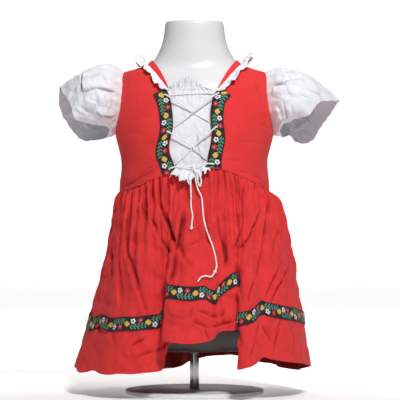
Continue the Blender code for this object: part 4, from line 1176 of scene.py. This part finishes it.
def ribbon_edges(node):
    """The left and right edge of an upright ribbon, each from the bottom up."""
    work = merged(node)
    ring = outline(outer_faces(work))
    work.free()
    before, after = unit(ring - np.roll(ring, 1, axis=0)), unit(np.roll(ring, -1, axis=0) - ring)
    turns = 1 - (before * after).sum(axis=1)
    corners = sorted(np.argsort(turns)[-4:])
    ring = np.roll(ring, -corners[0], axis=0)
    corners = [corner - corners[0] for corner in corners] + [len(ring)]
    closed = np.vstack([ring, ring[:1]])
    edges = [closed[a : b + 1] for a, b in zip(corners, corners[1:])]
    long_edges = sorted(edges, key=lambda edge: distances(edge)[-1])[-2:]
    long_edges = [edge if edge[0, 2] < edge[-1, 2] else edge[::-1] for edge in long_edges]
    return sorted(long_edges, key=lambda edge: edge[:, 0].mean())


def along_line(points, count):
    """Evenly spaced points along a row of points."""
    lengths = distances(points)
    places = np.linspace(0, lengths[-1], count)
    return read_along(points, lengths, places)


# %% Ribbon strips
# Height of a yellow bud, and by how many half repeats the garland is moved on
BUD_HEIGHTS = {"left": (0.3584, 1), "right": (0.3640, 0)}
RIBBON_BULGE = 0.0005
RIBBON_GRID = (150, 26)


def bodice_ribbon(side_name):
    left, right = (along_line(edge, RIBBON_ROWS) for edge in ribbon_edges(f"ribbon_bodice_{side_name}"))
    width = right - left
    spare = np.maximum(1 - RIBBON_WIDTH / np.linalg.norm(width, axis=1, keepdims=True), 0)
    if side_name == "left":
        left = left + width * spare
    else:
        right = right - width * spare
    middle = (left + right) / 2
    middle = middle + off_body(middle) * RIBBON_BULGE
    coarse = np.stack([left, middle, right], axis=1)
    grid = creased_bodice(finer(coarse, *RIBBON_GRID))
    flat = flat_map(grid)
    height, moved_on = BUD_HEIGHTS[side_name]
    centre = RIBBON_GRID[1] // 2
    bud_row = int(np.argmin(np.abs(grid[:, centre, 2] - height)))
    down = flat[bud_row, centre, 1] - flat[..., 1] + moved_on * HALF_REPEAT / MM
    flat = np.stack([down, flat[..., 0]], axis=-1)
    return wall(f"ribbon_front_{side_name}", grid, RIBBON_CLOTH, flower_ribbon, flat=flat), grid


for side_name in ("left", "right"):
    strip, strip_grid = bodice_ribbon(side_name)
    stand_in(strip, "woven_ribbon", f"ribbon_bodice_{side_name}")
    declare(strip, strip_grid, "laid", [f"front_{side_name}"])

# %% [markdown]
# Neck band, ruffle and insert
#
# A red band finishes the neckline. It is read from the frame and turned out a little wider, apart from its
# ends. A white ruffle is drawn anew from the band's outer edge: it stands off it, and curls up at the
# shoulders and behind the neck. The white insert, read from the frame, closes the laced opening. It is
# gathered on a casing near its top, with a small frill above it, and a second frill falls over the waist.

# %% Neck band
BAND_TURN_OUT = 0.0038
BAND_END_COLUMNS = 4
BAND_GRID = (10, 240)
NECK_MIDDLE = (0.0, 0.0, 0.36)

band_coarse = read_wall("neck_band", "neck_band", NECK_MIDDLE, innermost)
band_columns = np.arange(len(band_coarse[0]))
from_band_end = np.minimum(band_columns, band_columns[::-1])[:, None]
turned_out = BAND_TURN_OUT * np.clip(from_band_end / BAND_END_COLUMNS, 0, 1)
band_coarse[1] += unit(band_coarse[1] - band_coarse[0]) * turned_out
band_grid = creased_bodice(finer(band_coarse, *BAND_GRID))
neck_band = stand_in(wall("band_neck", band_grid, RED_CLOTH, red_cotton), "red_cotton", "neck_band")
declare(neck_band, band_grid, "stretched", ["dress_form"])

# %% Neck ruffle
WHITE_CLOTH = 0.0006
RUFFLE_COLUMNS = 600
RUFFLE_ROWS = 18
RUFFLE_WIDTH = 0.0110
RUFFLE_PITCH = 0.0132
RUFFLE_FLARE = 0.0034
RUFFLE_OVERLAP = 0.0045
RUFFLE_CURL_START, RUFFLE_CURL_GROWTH = 12.0, 6.0
RUFFLE_LIFT_BEHIND = 34.0
# The ruffle's foot: in from the band's edge, and off the band
RUFFLE_FOOT_IN, RUFFLE_FOOT_OFF = 0.0008, 0.0011
# Columns: x and y at the shoulder, reach along the neck, share of the width and of the waves, start and
# growth of the curl in degrees
RUFFLE_STANDS = (
    (-0.064, -0.008, 0.010, 1.40, 1.5, 122.0, -22.0),
    (0.066, -0.004, 0.019, 1.65, 1.5, 132.0, -66.0),
)


def ruffle_surface():
    """A frill along the band's outer edge: it curls up at the shoulders and waves all the way."""
    band = finer(band_coarse, 2, 200)
    edge = band[1]
    first = edge[0] + unit(edge[0] - edge[1]) * RUFFLE_OVERLAP
    last = edge[-1] + unit(edge[-1] - edge[-2]) * RUFFLE_OVERLAP
    edge = np.vstack([first, edge, last])
    away, off = band[1] - band[0], outward(band)[1]
    away, off = (np.vstack([part[:1], part, part[-1:]]) for part in (away, off))
    lengths = distances(edge)
    along = np.linspace(0, lengths[-1], RUFFLE_COLUMNS)
    edge, away, off = (read_along(part, lengths, along) for part in (edge, away, off))
    away, off = unit(away), unit(off)
    beat = along / RUFFLE_PITCH + 0.35 * np.sin(along / 0.021) + 0.22 * np.sin(along / 0.0093 + 1)
    wave = np.sin(2 * math.pi * beat)
    size = 0.70 + 0.30 * np.sin(along / 0.013 + 2)
    from_end = np.minimum(along, along[-1] - along)
    ragged = 0.14 * np.sin(2 * math.pi * 0.61 * beat + 0.8) + 0.08 * np.sin(2 * math.pi * 1.37 * beat)
    width = RUFFLE_WIDTH * (0.8 + 0.2 * size + ragged) * np.clip(0.45 + from_end / 0.016, 0, 1)
    curl_start = RUFFLE_CURL_START + RUFFLE_LIFT_BEHIND * np.clip(edge[:, 1] / 0.03, 0, 1)
    curl_growth = np.full(RUFFLE_COLUMNS, RUFFLE_CURL_GROWTH)
    for shoulder_x, shoulder_y, reach, share, waves, start, growth in RUFFLE_STANDS:
        there = int(np.argmin(np.hypot(edge[:, 0] - shoulder_x, edge[:, 1] - shoulder_y)))
        stand = np.exp(-(((along - along[there]) / reach) ** 2))
        width = width * (1 + (share - 1) * stand)
        size = size * (1 + (waves - 1) * stand)
        curl_start = curl_start + (start - curl_start) * stand
        curl_growth = curl_growth + (growth - RUFFLE_CURL_GROWTH) * stand
    rows, place = [], edge - away * RUFFLE_FOOT_IN + off * RUFFLE_FOOT_OFF
    for share in np.linspace(0, 1, RUFFLE_ROWS):
        flare = RUFFLE_FLARE * size * share**1.1 * (1 + wave)
        rows.append(place + off * flare[:, None])
        curl = np.radians(curl_start + curl_growth * share)[:, None]
        step = (width / (RUFFLE_ROWS - 1) * (1 - 0.12 * wave**2))[:, None]
        place = place + (away * np.cos(curl) + off * np.sin(curl)) * step
    grid = np.array(rows)
    return grid + outward(grid) * (0.0004 * unevenness(grid, 0.005, 1.3))[..., None]


ruffle_grid = ruffle_surface()
neck_ruffle = stand_in(
    wall("ruffle_neck", ruffle_grid, WHITE_CLOTH, white_cotton), "white_cotton", "neck_ruffle"
)
declare(neck_ruffle, ruffle_grid, "gathered", ["band_neck"])

# %% Insert
# Columns: x and z at the start, x and z at the end, width and depth, all in millimetres
INSERT_CREASES = (
    (-2, 348, 11, 330, 1.8, 0.9),
    (1, 328, 15, 315, 1.8, 0.8),
    (3, 338, 6, 302, -2.0, 1.0),
    (11, 343, 16, 309, 2.0, 1.0),
    (-17, 363, -6, 350, 1.8, 0.5),
    (-11, 378, 3, 365, 1.8, 0.6),
    (13, 373, 22, 363, 2.0, 0.5),
    (-18, 315, -11, 292, 2.4, 0.6),
    (-6, 317, -3, 290, 2.2, 0.6),
    (6, 315, 11, 292, 2.2, 0.7),
    (-22, 345, -18, 320, 2.2, 0.4),
    (2, 360, 18, 350, 1.8, 0.5),
)
INSERT_GRID = (132, 186)
INSERT_GATHERS = 13
WAIST_FLUTES = 5
CASING_Z = 0.3905
FRILL_MIDDLE_X, FRILL_HALF_WIDTH = -0.009, 0.026
WAIST_FRILL_TOP, WAIST_FRILL_HALF_WIDTH = 0.2935, 0.0205


def insert_surface():
    """The insert with its top frill heaped in the middle, its casing, creases and the frill at the waist."""
    grid = finer(insert_coarse, *INSERT_GRID)
    share = np.linspace(0, 1, grid.shape[1])[None, :]
    x, z = grid[..., 0], grid[..., 2]
    above, below = np.clip(z - CASING_Z, 0, None), np.clip(WAIST_FRILL_TOP - z, 0, None)
    hump = np.clip(1 - np.abs(x - FRILL_MIDDLE_X) / FRILL_HALF_WIDTH, 0, 1)
    ragged = 0.22 * np.sin(x / 0.0011) * np.cos(x / 0.0029) + 0.12 * np.sin(x / 0.0006 + 1)
    tall = 0.10 + 0.92 * hump**0.8 + ragged * hump
    point = np.clip(1 - np.abs(x - FRILL_MIDDLE_X) / WAIST_FRILL_HALF_WIDTH, 0, 1)
    long = 0.30 + 0.75 * point**0.7 + 0.12 * np.sin(x / 0.0014) + 0.08 * np.sin(x / 0.0007)
    grid = grid.copy()
    grid[..., 2] += above * (tall - 1) - below * (long - 1)
    spread = 1 + 0.25 * np.clip(below / 0.006, 0, 1)
    grid[..., 0] = FRILL_MIDDLE_X + (x - FRILL_MIDDLE_X) * spread
    beat = INSERT_GATHERS * (share + 0.02 * np.sin(17 * share) + 0.010 * np.sin(41 * share))
    gathers = np.sin(2 * math.pi * beat)
    from_casing = z - CASING_Z
    near_top = np.where(from_casing > 0, 1.0 + above / 0.010, np.exp(from_casing / 0.010))
    lift = 0.00048 * near_top * (1 + gathers) - 0.0007 * np.exp(-((from_casing / 0.0009) ** 2))
    lift = lift + 0.0009 * np.clip(above / 0.004, 0, 1) * crumple(grid, 0.0052, 0.4)
    fluted = np.sin(2 * math.pi * WAIST_FLUTES * (share + 0.03 * np.sin(11 * share)))
    frill = 0.0014 * (1 + fluted) + 0.0012 * crumple(grid, 0.0055, 1.0)
    lift = lift + np.clip(below / 0.010, 0, 1) * frill
    pressed, facets = crease_field(grid, INSERT_CREASES, -1), crumple(grid, 0.016, 2.1)
    lift = lift - pressed + 0.0006 * facets
    folds = 0.35 * crease_field(grid, INSERT_CREASES, -1, deep_line) / 0.0010 + 0.08 * (1 - facets)
    folds = folds + 0.16 * near_top * np.clip(-gathers, 0, 1)
    return grid + outward(grid) * np.maximum(lift, -0.0006)[..., None], folds


insert_coarse = read_wall("insert", "insert", BODY_MIDDLE, lowest)
insert_grid, insert_folds = insert_surface()
insert = wall("insert_front", insert_grid, WHITE_CLOTH, white_cotton, folds=insert_folds)
stand_in(insert, "white_cotton", "insert")
declare(insert, insert_grid, "gathered", ["dress_form"])

# %% [markdown]
# The skirt
#
# A dirndl's skirt is a straight width of cloth gathered into the waist seam. The frame gives its large
# folds. On them go fine uneven gathers that die out below the waist, long creases that run down from them,
# and a hem that is a little crumpled. Front and back are read and creased by the same function, and
# the ribbon asks that function for its own rows, so it follows every fold of the cloth under it. The inside
# is darkened near the hem, where it lies in the shade of the skirt itself.

# %% Skirt creases
# Columns: x and z at the start, x and z at the end, width and depth, all in millimetres
SKIRT_FRONT_CREASES = (
    (-43, 247, -20, 189, 2.6, 3.4),
    (-15, 237, -23, 185, 3.0, 3.4),
    (-23, 187, -31, 146, 3.0, 2.6),
    (-57, 233, -43, 203, 2.4, 2.2),
    (-43, 203, -27, 184, 2.4, 1.9),
    (-67, 250, -60, 220, 2.2, 2.0),
    (-83, 240, -85, 178, 2.4, 2.0),
    (-85, 189, -66, 127, 2.6, 2.4),
    (-68, 136, -59, 106, 2.4, 1.7),
    (-97, 174, -93, 118, 3.0, 1.7),
    (-108, 191, -106, 145, 3.0, 1.5),
    (-75, 220, -77, 174, 2.2, 1.5),
    (-20, 198, -13, 177, 2.3, 1.7),
    (-13, 179, -3, 167, 2.2, 1.4),
    (-11, 194, 7, 200, 2.2, 1.2),
    (29, 233, 34, 201, 2.4, 2.4),
    (33, 206, 40, 166, 2.6, 3.2),
    (57, 219, 51, 189, 2.4, 1.7),
    (84, 237, 68, 199, 2.4, 2.2),
    (70, 204, 55, 189, 2.2, 1.6),
    (93, 250, 92, 231, 2.4, 1.7),
    (92, 235, 81, 164, 2.6, 2.4),
    (81, 166, 67, 121, 2.8, 2.3),
    (112, 174, 90, 127, 2.4, 1.8),
    (123, 169, 96, 121, 2.8, 1.9),
    (109, 216, 98, 174, 2.4, 1.6),
    (16, 245, 17, 195, 2.4, 1.6),
    (42, 242, 46, 201, 2.2, 1.7),
    (2, 245, 6, 201, 2.3, 1.2),
    (52, 174, 61, 126, 3.0, 1.7),
    (110, 101, 100, 57, 2.8, 1.9),
    (84, 93, 98, 71, 2.4, 1.7),
    (81, 99, 70, 54, 2.6, 2.0),
    (5, 113, 21, 107, 2.2, 1.7),
    (21, 107, 31, 104, 2.2, 1.8),
    (31, 104, 38, 113, 2.2, 1.4),
    (-3, 119, -4, 101, 2.2, 1.3),
    (-4, 101, 22, 90, 2.3, 1.9),
    (22, 91, 52, 99, 2.2, 1.8),
    (-33, 108, -18, 105, 2.2, 1.2),
    (-18, 106, -15, 99, 2.2, 0.9),
    (12, 93, 22, 75, 2.4, 1.6),
    (-60, 78, -81, 66, 2.4, 1.4),
    (-81, 66, -79, 51, 2.2, 1.1),
    (-79, 51, -48, 62, 2.6, 1.6),
    (-50, 61, -33, 73, 2.4, 1.3),
    (-106, 101, -101, 64, 3.0, 1.3),
    (-124, 104, -121, 76, 3.0, 1.1),
    (52, 94, 57, 66, 2.2, 1.5),
    (122, 95, 129, 64, 3.0, 1.1),
)
SKIRT_BACK_CREASES = (
    (-70, 245, -88, 180, 2.6, 2.2),
    (-52, 240, -60, 150, 2.8, 2.4),
    (-35, 246, -30, 190, 2.2, 1.8),
    (-28, 195, -44, 120, 2.8, 2.2),
    (-10, 244, -16, 170, 2.4, 2.0),
    (4, 235, 12, 140, 2.8, 2.4),
    (22, 246, 20, 195, 2.2, 1.7),
    (34, 236, 50, 150, 2.6, 2.3),
    (55, 244, 62, 200, 2.2, 1.8),
    (66, 225, 90, 130, 2.8, 2.2),
    (82, 246, 96, 195, 2.4, 1.7),
    (-95, 200, -112, 120, 3.0, 1.8),
    (-80, 140, -66, 95, 2.4, 1.5),
    (20, 130, 34, 100, 2.2, 1.4),
    (105, 175, 122, 105, 3.0, 1.7),
    (-20, 90, 10, 74, 2.4, 1.4),
    (-90, 84, -60, 62, 2.4, 1.3),
    (60, 88, 84, 66, 2.4, 1.4),
)
GATHER_STEPS = (3.2, 6.8)
GATHER_DEPTHS = (1.2, 3.6)
GATHER_LENGTHS = (14.0, 60.0)
GATHER_WIDTHS = (1.1, 2.0)
GATHER_SLANT = 0.16
GATHER_SEEDS = {-1: 5, 1: 6}
SKIRT_CREASE_SHARE = 1.6
SKIRT_WAVES = 0.0012
SKIRT_WAVE_SIZE = 0.017
SKIRT_CRUMPLE = 0.0013
SKIRT_CRUMPLE_SIZE = 0.034
SKIRT_WRINKLES = 0.0016
SKIRT_WRINKLE_SIZE = 0.0125
UPRIGHT = np.array((1.0, 1.0, 0.38))
# How much gathers, creases and wrinkles darken the cloth
GATHER_SHADE, CREASE_SHADE, WRINKLE_SHADE = 0.45, 1.25, 0.22
# Folds fade out over this share at the side seams, and waves over this height at the waist
SKIRT_SIDE_FADE, SKIRT_WAIST_FADE = 0.03, 0.03


def gather_grooves(across, below_waist, seed):
    """How far the gathers press the cloth in: short uneven grooves that start at the waist seam."""
    draw = np.random.default_rng(seed)
    across, below = across * MM, below_waist * MM
    pressed, start = np.zeros(np.broadcast(across, below).shape), 2.0
    while start < across.max() - 2:
        depth, length, width = (
            draw.uniform(*span) for span in (GATHER_DEPTHS, GATHER_LENGTHS, GATHER_WIDTHS)
        )
        middle = start + draw.uniform(-GATHER_SLANT, GATHER_SLANT) * below
        off = (across - middle) / (width * (1 + below / 26))
        fade = np.clip(1 - below / length, 0, 1) ** 0.8 * np.clip(0.45 + below / 4, 0, 1)
        pressed += depth * fade * (np.exp(-off**2) - 0.35 * np.exp(-((np.abs(off) - 1.9) ** 2)))
        start += draw.uniform(*GATHER_STEPS)
    return pressed / MM


def skirt_surface(coarse, face, places, shares):
    """The outer side of one half of the skirt at these places and shares, and how deep its folds are."""
    known = row_places(coarse)
    grid = more_columns(smooth_rows(coarse, known, places), shares)
    below_waist = (known[-1] - np.asarray(places))[:, None]
    waist = distances(coarse[-1])[-1]
    shares = np.asarray(shares)[None, :]
    gathers = gather_grooves(shares * waist, below_waist, GATHER_SEEDS[face])
    ends = np.clip(np.minimum(shares, 1 - shares) / SKIRT_SIDE_FADE, 0, 1)
    table = SKIRT_FRONT_CREASES if face < 0 else SKIRT_BACK_CREASES
    pressed = gathers + SKIRT_CREASE_SHARE * crease_field(grid, table, face)
    folds = GATHER_SHADE * gathers + CREASE_SHADE * crease_field(grid, table, face, deep_line)
    folds = folds / FOLD_DEPTH
    waves = SKIRT_WAVES * unevenness(grid, SKIRT_WAVE_SIZE, 1.9)
    waves = waves + SKIRT_CRUMPLE * (crumple(grid, SKIRT_CRUMPLE_SIZE, 0.9) - CRUMPLE_MIDDLE)
    wrinkles = crumple(grid * UPRIGHT, SKIRT_WRINKLE_SIZE, 2.6) - CRUMPLE_MIDDLE
    waves = waves + SKIRT_WRINKLES * wrinkles * (0.55 + 0.45 * unevenness(grid, 0.045, 0.3))
    folds = folds + WRINKLE_SHADE * np.clip(-wrinkles - 0.25, 0, 1)
    waves = waves * np.clip(below_waist / SKIRT_WAIST_FADE, 0, 1)
    return grid + outward(grid) * (waves - pressed * ends)[..., None], folds * ends


# %% Skirt panels
SKIRT_ROWS, SKIRT_COLUMNS = 144, 315
HEM_CLOSENESS = 1.2
# Columns: how far up from the gathering line and how far in, in metres
WAIST_TURN = ((0.0006, 0.0006), (0.0016, 0.0014), (0.0032, 0.0019))
# Shade is painted on the inside below this height, with a blend
DIM_TOP, DIM_FADE = 0.105, 0.03
SKIRT_MIDDLE = (0.0, 0.0, 0.05)

skirt_shares = np.linspace(0, 1, SKIRT_COLUMNS)
skirt_coarse = {}
for face, face_name in ((-1, "front"), (1, "back")):
    coarse = read_wall(f"skirt_{face_name}", "skirt", SKIRT_MIDDLE, lowest)
    skirt_coarse[face_name] = coarse
    places = row_places(coarse)[-1] * np.linspace(0, 1, SKIRT_ROWS) ** HEM_CLOSENESS
    grid, folds = skirt_surface(coarse, face, places, skirt_shares)
    top, off = grid[-1], outward(grid)[-1]
    turned_in = [top + (0.0, 0.0, up) - off * inward for up, inward in WAIST_TURN]
    grid = np.concatenate([grid, turned_in])
    folds = np.concatenate([folds, np.repeat(folds[-1:], len(WAIST_TURN), axis=0)])
    dim = np.clip((DIM_TOP - grid[..., 2]) / DIM_FADE, 0, 1)
    panel = wall(f"panel_{face_name}", grid, RED_CLOTH, creased_red_cotton, folds=folds, dim=dim)
    stand_in(panel, "red_cotton", f"skirt_{face_name}")
    declare(panel, grid, "gathered", ["back"])

# %% Ribbon above the hem
RIBBON_OFF_SKIRT = 0.0009
HEM_RIBBON_ROWS = 16
# The rows of the frame's skirt between which the ribbon lies
RIBBON_FROM, RIBBON_TO = 2, 3

for face, face_name in ((-1, "front"), (1, "back")):
    coarse = skirt_coarse[face_name]
    known = row_places(coarse)
    places = np.linspace(known[RIBBON_FROM], known[RIBBON_TO], HEM_RIBBON_ROWS)
    grid, folds = skirt_surface(coarse, face, places, skirt_shares)
    grid = grid + outward(grid) * RIBBON_OFF_SKIRT
    strip = wall(f"ribbon_hem_{face_name}", grid, RIBBON_CLOTH, flower_ribbon, folds=folds)
    stand_in(strip, "woven_ribbon", f"ribbon_skirt_{face_name}")
    declare(strip, grid, "laid", [f"panel_{face_name}"])

# %% [markdown]
# The puff sleeves
#
# Each sleeve is one tube of thin white cotton, gathered into the armhole at the top and left wide at the
# cuff. Thin cotton keeps sharp little folds where it is squeezed, so its creases are narrower than the
# skirt's, and the puff is gently dented all over.

# %% Sleeve creases
# Columns: x and z at the start, x and z at the end, width and depth, all in millimetres
SLEEVE_CREASES = (
    (-144, 389, -125, 395, -1.5, 1.9),
    (-128, 395, -102, 389, -1.5, 1.8),
    (-144, 420, -143, 389, -1.5, 2.0),
    (-125, 364, -116, 357, -1.6, 1.5),
    (-117, 358, -102, 359, -1.5, 1.3),
    (-137, 380, -121, 375, 2.4, 0.9),
    (-152, 395, -160, 380, 2.4, 1.0),
    (-122, 421, -110, 398, 2.6, 0.8),
    (-134, 414, -128, 400, 2.2, 0.7),
    (-150, 372, -132, 362, 2.4, 0.9),
    (-128, 392, -122, 368, 2.2, 1.0),
    (-114, 386, -110, 372, 2.0, 0.8),
    (98, 397, 114, 400, 1.5, 1.4),
    (112, 399, 124, 406, 1.5, 1.5),
    (123, 405, 145, 406, 1.6, 1.2),
    (107, 372, 111, 353, 1.6, 1.1),
    (115, 371, 119, 354, -1.6, 1.1),
    (123, 373, 126, 357, 1.6, 0.8),
    (135, 386, 151, 380, 2.6, 0.8),
    (112, 416, 130, 418, 3.0, 0.6),
    (143, 392, 166, 384, 2.4, 0.9),
)
SLEEVE_BACK_CREASES = (
    (-140, 400, -108, 392, 2.0, 1.4),
    (-150, 372, -118, 365, 2.0, 1.2),
    (-130, 418, -112, 400, 2.4, 1.0),
    (-124, 356, -110, 372, 2.0, 1.0),
    (104, 388, 136, 398, 2.0, 1.4),
    (112, 366, 148, 372, 2.2, 1.1),
    (120, 416, 142, 402, 2.4, 1.0),
    (108, 352, 122, 370, 1.8, 1.0),
    (-158, 372, -141, 352, -2.2, 1.8),
    (-146, 366, -128, 356, 2.0, 1.6),
    (-136, 351, -122, 360, 1.8, 1.5),
    (-152, 358, -138, 346, 2.0, 1.2),
    (130, 344, 150, 356, 2.4, 1.6),
    (150, 382, 160, 362, 2.2, 1.5),
    (142, 366, 156, 350, -2.0, 1.4),
    (118, 352, 128, 344, 1.8, 1.4),
)
SLEEVE_CREASE_SHARE = 1.9
SLEEVE_WAVES = 0.0008
SLEEVE_WAVE_SIZE = 0.013
SLEEVE_CRUMPLE = 0.0013
SLEEVE_CRUMPLE_SIZE = 0.021
SLEEVE_WRINKLES = {"left": 0.0008, "right": 0.0004}
SLEEVE_WRINKLE_SIZE = 0.0085
SLEEVE_ROWS, SLEEVE_COLUMNS = 72, 276
CUFF_RAGGED = 0.0013
CUFF_WAVE_SIZE = 0.0065
SLEEVE_CREASE_SHADE, SLEEVE_FACET_SHADE = 0.9, 0.08

for side_name in ("left", "right"):
    node = f"sleeve_{side_name}"
    low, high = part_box(node)
    coarse = read_wall(node, "sleeve", (low + high) / 2, nearest_middle, closed=True)
    grid = finer(coarse, SLEEVE_ROWS, SLEEVE_COLUMNS, closed=True)
    fade = np.clip(np.linspace(0, 6, SLEEVE_ROWS), 0, 1)[:, None]
    pressed = creases_all_round(grid, SLEEVE_CREASES, SLEEVE_BACK_CREASES)
    waves = SLEEVE_WAVES * unevenness(grid, SLEEVE_WAVE_SIZE, 0.4)
    facets = crumple(grid, SLEEVE_CRUMPLE_SIZE, 2.0)
    wrinkles = crumple(grid, SLEEVE_WRINKLE_SIZE, 0.8) - CRUMPLE_MIDDLE
    waves = waves + SLEEVE_CRUMPLE * (facets - CRUMPLE_MIDDLE) + SLEEVE_WRINKLES[side_name] * wrinkles
    to_cuff = unit(grid[-1] - grid[-6])
    near_cuff = np.linspace(0, 1, SLEEVE_ROWS)[:, None] ** 3
    ragged = CUFF_RAGGED * unevenness(grid, CUFF_WAVE_SIZE, 1.1) * near_cuff
    grid = grid + outward(grid, True) * ((waves - SLEEVE_CREASE_SHARE * pressed) * fade)[..., None]
    grid = grid + to_cuff * ragged[..., None]
    folds = creases_all_round(grid, SLEEVE_CREASES, SLEEVE_BACK_CREASES, deep_line)
    folds = SLEEVE_CREASE_SHADE * folds / FOLD_DEPTH + SLEEVE_FACET_SHADE * (1 - facets)
    sleeve = wall(f"puff_{side_name}", grid, WHITE_CLOTH, white_cotton, closed=True, folds=folds)
    stand_in(sleeve, "white_cotton", node)
    declare(sleeve, grid, "gathered", ["back"], closed=True)

# %% [markdown]
# The lace
#
# One cotton cord laces the bodice through six worked holes and ends in a small bow. Its way through the
# holes is read from the frame's tube, ring by ring. The two ends hang free over the skirt, so they are
# cords of a known length: their points are the ones that the frame's own cords were made from.

# %% A tube round a smooth curve
LACE_DIAMETER = 0.0020
TUBE_SIDES = 14


def curve_through(points, samples):
    """Many points of one smooth curve through a row of points."""
    points = np.asarray(points, float)
    known = distances(points)
    at = np.linspace(0, known[-1], samples)
    return smooth_rows(points[:, None], known, at)[:, 0]


def tube(name, path, diameter, finish, closed=False):
    """A round cord along a path, with its UV map as metres along and turns round."""
    path = np.asarray(path)
    if closed:
        along = np.roll(path, -1, axis=0) - np.roll(path, 1, axis=0)
    else:
        along = np.gradient(path, axis=0)
    along = unit(along)
    side = np.cross(along[0], (0.0, 0.0, 1.0) if abs(along[0, 2]) < 0.8 else (1.0, 0.0, 0.0))
    turn = 2 * math.pi * np.arange(TUBE_SIDES) / TUBE_SIDES
    rings = []
    for middle, direction in zip(path, along):
        side = unit(side - direction * (side @ direction))
        other = np.cross(direction, side)
        ring = np.cos(turn)[:, None] * side + np.sin(turn)[:, None] * other
        rings.append(middle + ring * diameter / 2)
    rings = np.array(rings)
    count = len(rings)
    lengths = distances(path)
    quads, maps = [], []
    for row in range(count if closed else count - 1):
        for place in range(TUBE_SIDES):
            ring = [(row, place), (row, place + 1), (row + 1, place + 1), (row + 1, place)]
            quads.append([r % count * TUBE_SIDES + p % TUBE_SIDES for r, p in ring])
            step = lengths[1] - lengths[0]
            maps += [(lengths[row] + (r - row) * step, p / TUBE_SIDES) for r, p in ring]
    if not closed:
        for row, order in ((0, range(TUBE_SIDES - 1, -1, -1)), (count - 1, range(TUBE_SIDES))):
            quads.append([row * TUBE_SIDES + p for p in order])
            maps += [(lengths[row], p / TUBE_SIDES) for p in order]
    print(name, round(lengths[-1] * MM), "mm")
    return new_piece(name, rings.reshape(-1, 3), quads, maps, finish)


# %% The lacing
FRAME_SIDES = 8
LACING_START = (-0.0020, -0.0915, 0.2918)


def tube_middle(node, start):
    """The middle line of a frame tube: its rings are found one after the other from one end."""
    work = merged(node)
    start = Vector(start)
    ring = sorted(work.verts, key=lambda vert: (vert.co - start).length)[:FRAME_SIDES]
    seen, middles = set(ring), []
    while ring:
        middles.append(np.mean([np.array(vert.co) for vert in ring], axis=0))
        near = {edge.other_vert(vert) for vert in ring for edge in vert.link_edges} - seen
        ring = sorted(near, key=lambda vert: vert.index)
        seen |= near
    work.free()
    return np.array(middles)


lacing_line = tube_middle("lacing", LACING_START)
print("rings along the lacing:", len(lacing_line))
lacing = tube("lace_crossed", curve_through(lacing_line, 700), LACE_DIAMETER, cotton_cord)
stand_in(lacing, "lace_cord", "lacing")

# %% Hanging ends and the loop of the bow
# Columns: x, y, z
END_LEFT = (
    (-0.0016, -0.0940, 0.2905),
    (-0.0038, -0.0955, 0.2830),
    (-0.0046, -0.0984, 0.2740),
    (-0.0042, -0.0984, 0.2578),
    (-0.0039, -0.0992, 0.2415),
    (-0.0023, -0.1008, 0.2327),
    (-0.0029, -0.1020, 0.2240),
    (-0.0036, -0.1032, 0.2175),
)
END_RIGHT = (
    (0.0000, -0.0940, 0.2900),
    (0.0014, -0.0976, 0.2790),
    (0.0040, -0.0974, 0.2667),
    (0.0090, -0.0970, 0.2553),
    (0.0103, -0.0993, 0.2440),
    (0.0119, -0.1019, 0.2277),
    (0.0167, -0.1052, 0.2102),
    (0.0203, -0.1064, 0.2012),
    (0.0232, -0.1064, 0.1927),
    (0.0272, -0.1052, 0.1765),
    (0.0279, -0.1054, 0.1690),
    (0.0261, -0.1072, 0.1622),
    (0.0254, -0.1076, 0.1610),
    (0.0212, -0.1098, 0.1556),
    (0.0146, -0.1112, 0.1566),
    (0.0084, -0.1142, 0.1548),
    (0.0044, -0.1160, 0.1498),
)
LOOP = (
    (0.0004, -0.0950, 0.2912),
    (0.0052, -0.0972, 0.2850),
    (0.0088, -0.0990, 0.2750),
    (0.0070, -0.0992, 0.2692),
    (0.0046, -0.0998, 0.2745),
    (0.0032, -0.0990, 0.2840),
    (-0.0006, -0.0965, 0.2905),
)
KNOT_STEPS = 160
BOW_KNOT_CORD, TIP_KNOT_CORD = 0.0019, 0.0017


def knot(name, node, cord_diameter):
    """A tight knot in a node's place: a cord on a three-lobed knot curve."""
    low, high = (np.array(corner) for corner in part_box(node))
    turn = 2 * math.pi * np.arange(KNOT_STEPS) / KNOT_STEPS
    lobes = np.stack(
        [np.sin(turn) + 2 * np.sin(2 * turn), -np.sin(3 * turn), np.cos(turn) - 2 * np.cos(2 * turn)], axis=-1
    )
    reach = (high - low - cord_diameter) / 2
    path = (low + high) / 2 + lobes / np.abs(lobes).max(axis=0) * reach
    return stand_in(tube(name, path, cord_diameter, cotton_cord, closed=True), "lace_cord", node)


def hanging(name, route, nodes, tip):
    path = curve_through(route, 14 * len(route))
    length = float(distances(path)[-1])
    made = stand_in(tube(name, path, LACE_DIAMETER, cotton_cord), "lace_cord", *nodes)
    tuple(route[0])
    return made


knot("bow_knot", "lace_knot", BOW_KNOT_CORD)
tip_left = knot("tip_knot_left", "lace_tip_left", TIP_KNOT_CORD)
tip_right = knot("tip_knot_right", "lace_tip_right", TIP_KNOT_CORD)
hanging("end_left", END_LEFT, ["lace_end_left"], tip_left)
hanging("end_right", END_RIGHT, ["lace_end_right", "lace_tail_right"], tip_right)
loop = tube("bow_loop", curve_through(LOOP, 90), LACE_DIAMETER, cotton_cord)
stand_in(loop, "lace_cord", "lace_loop")
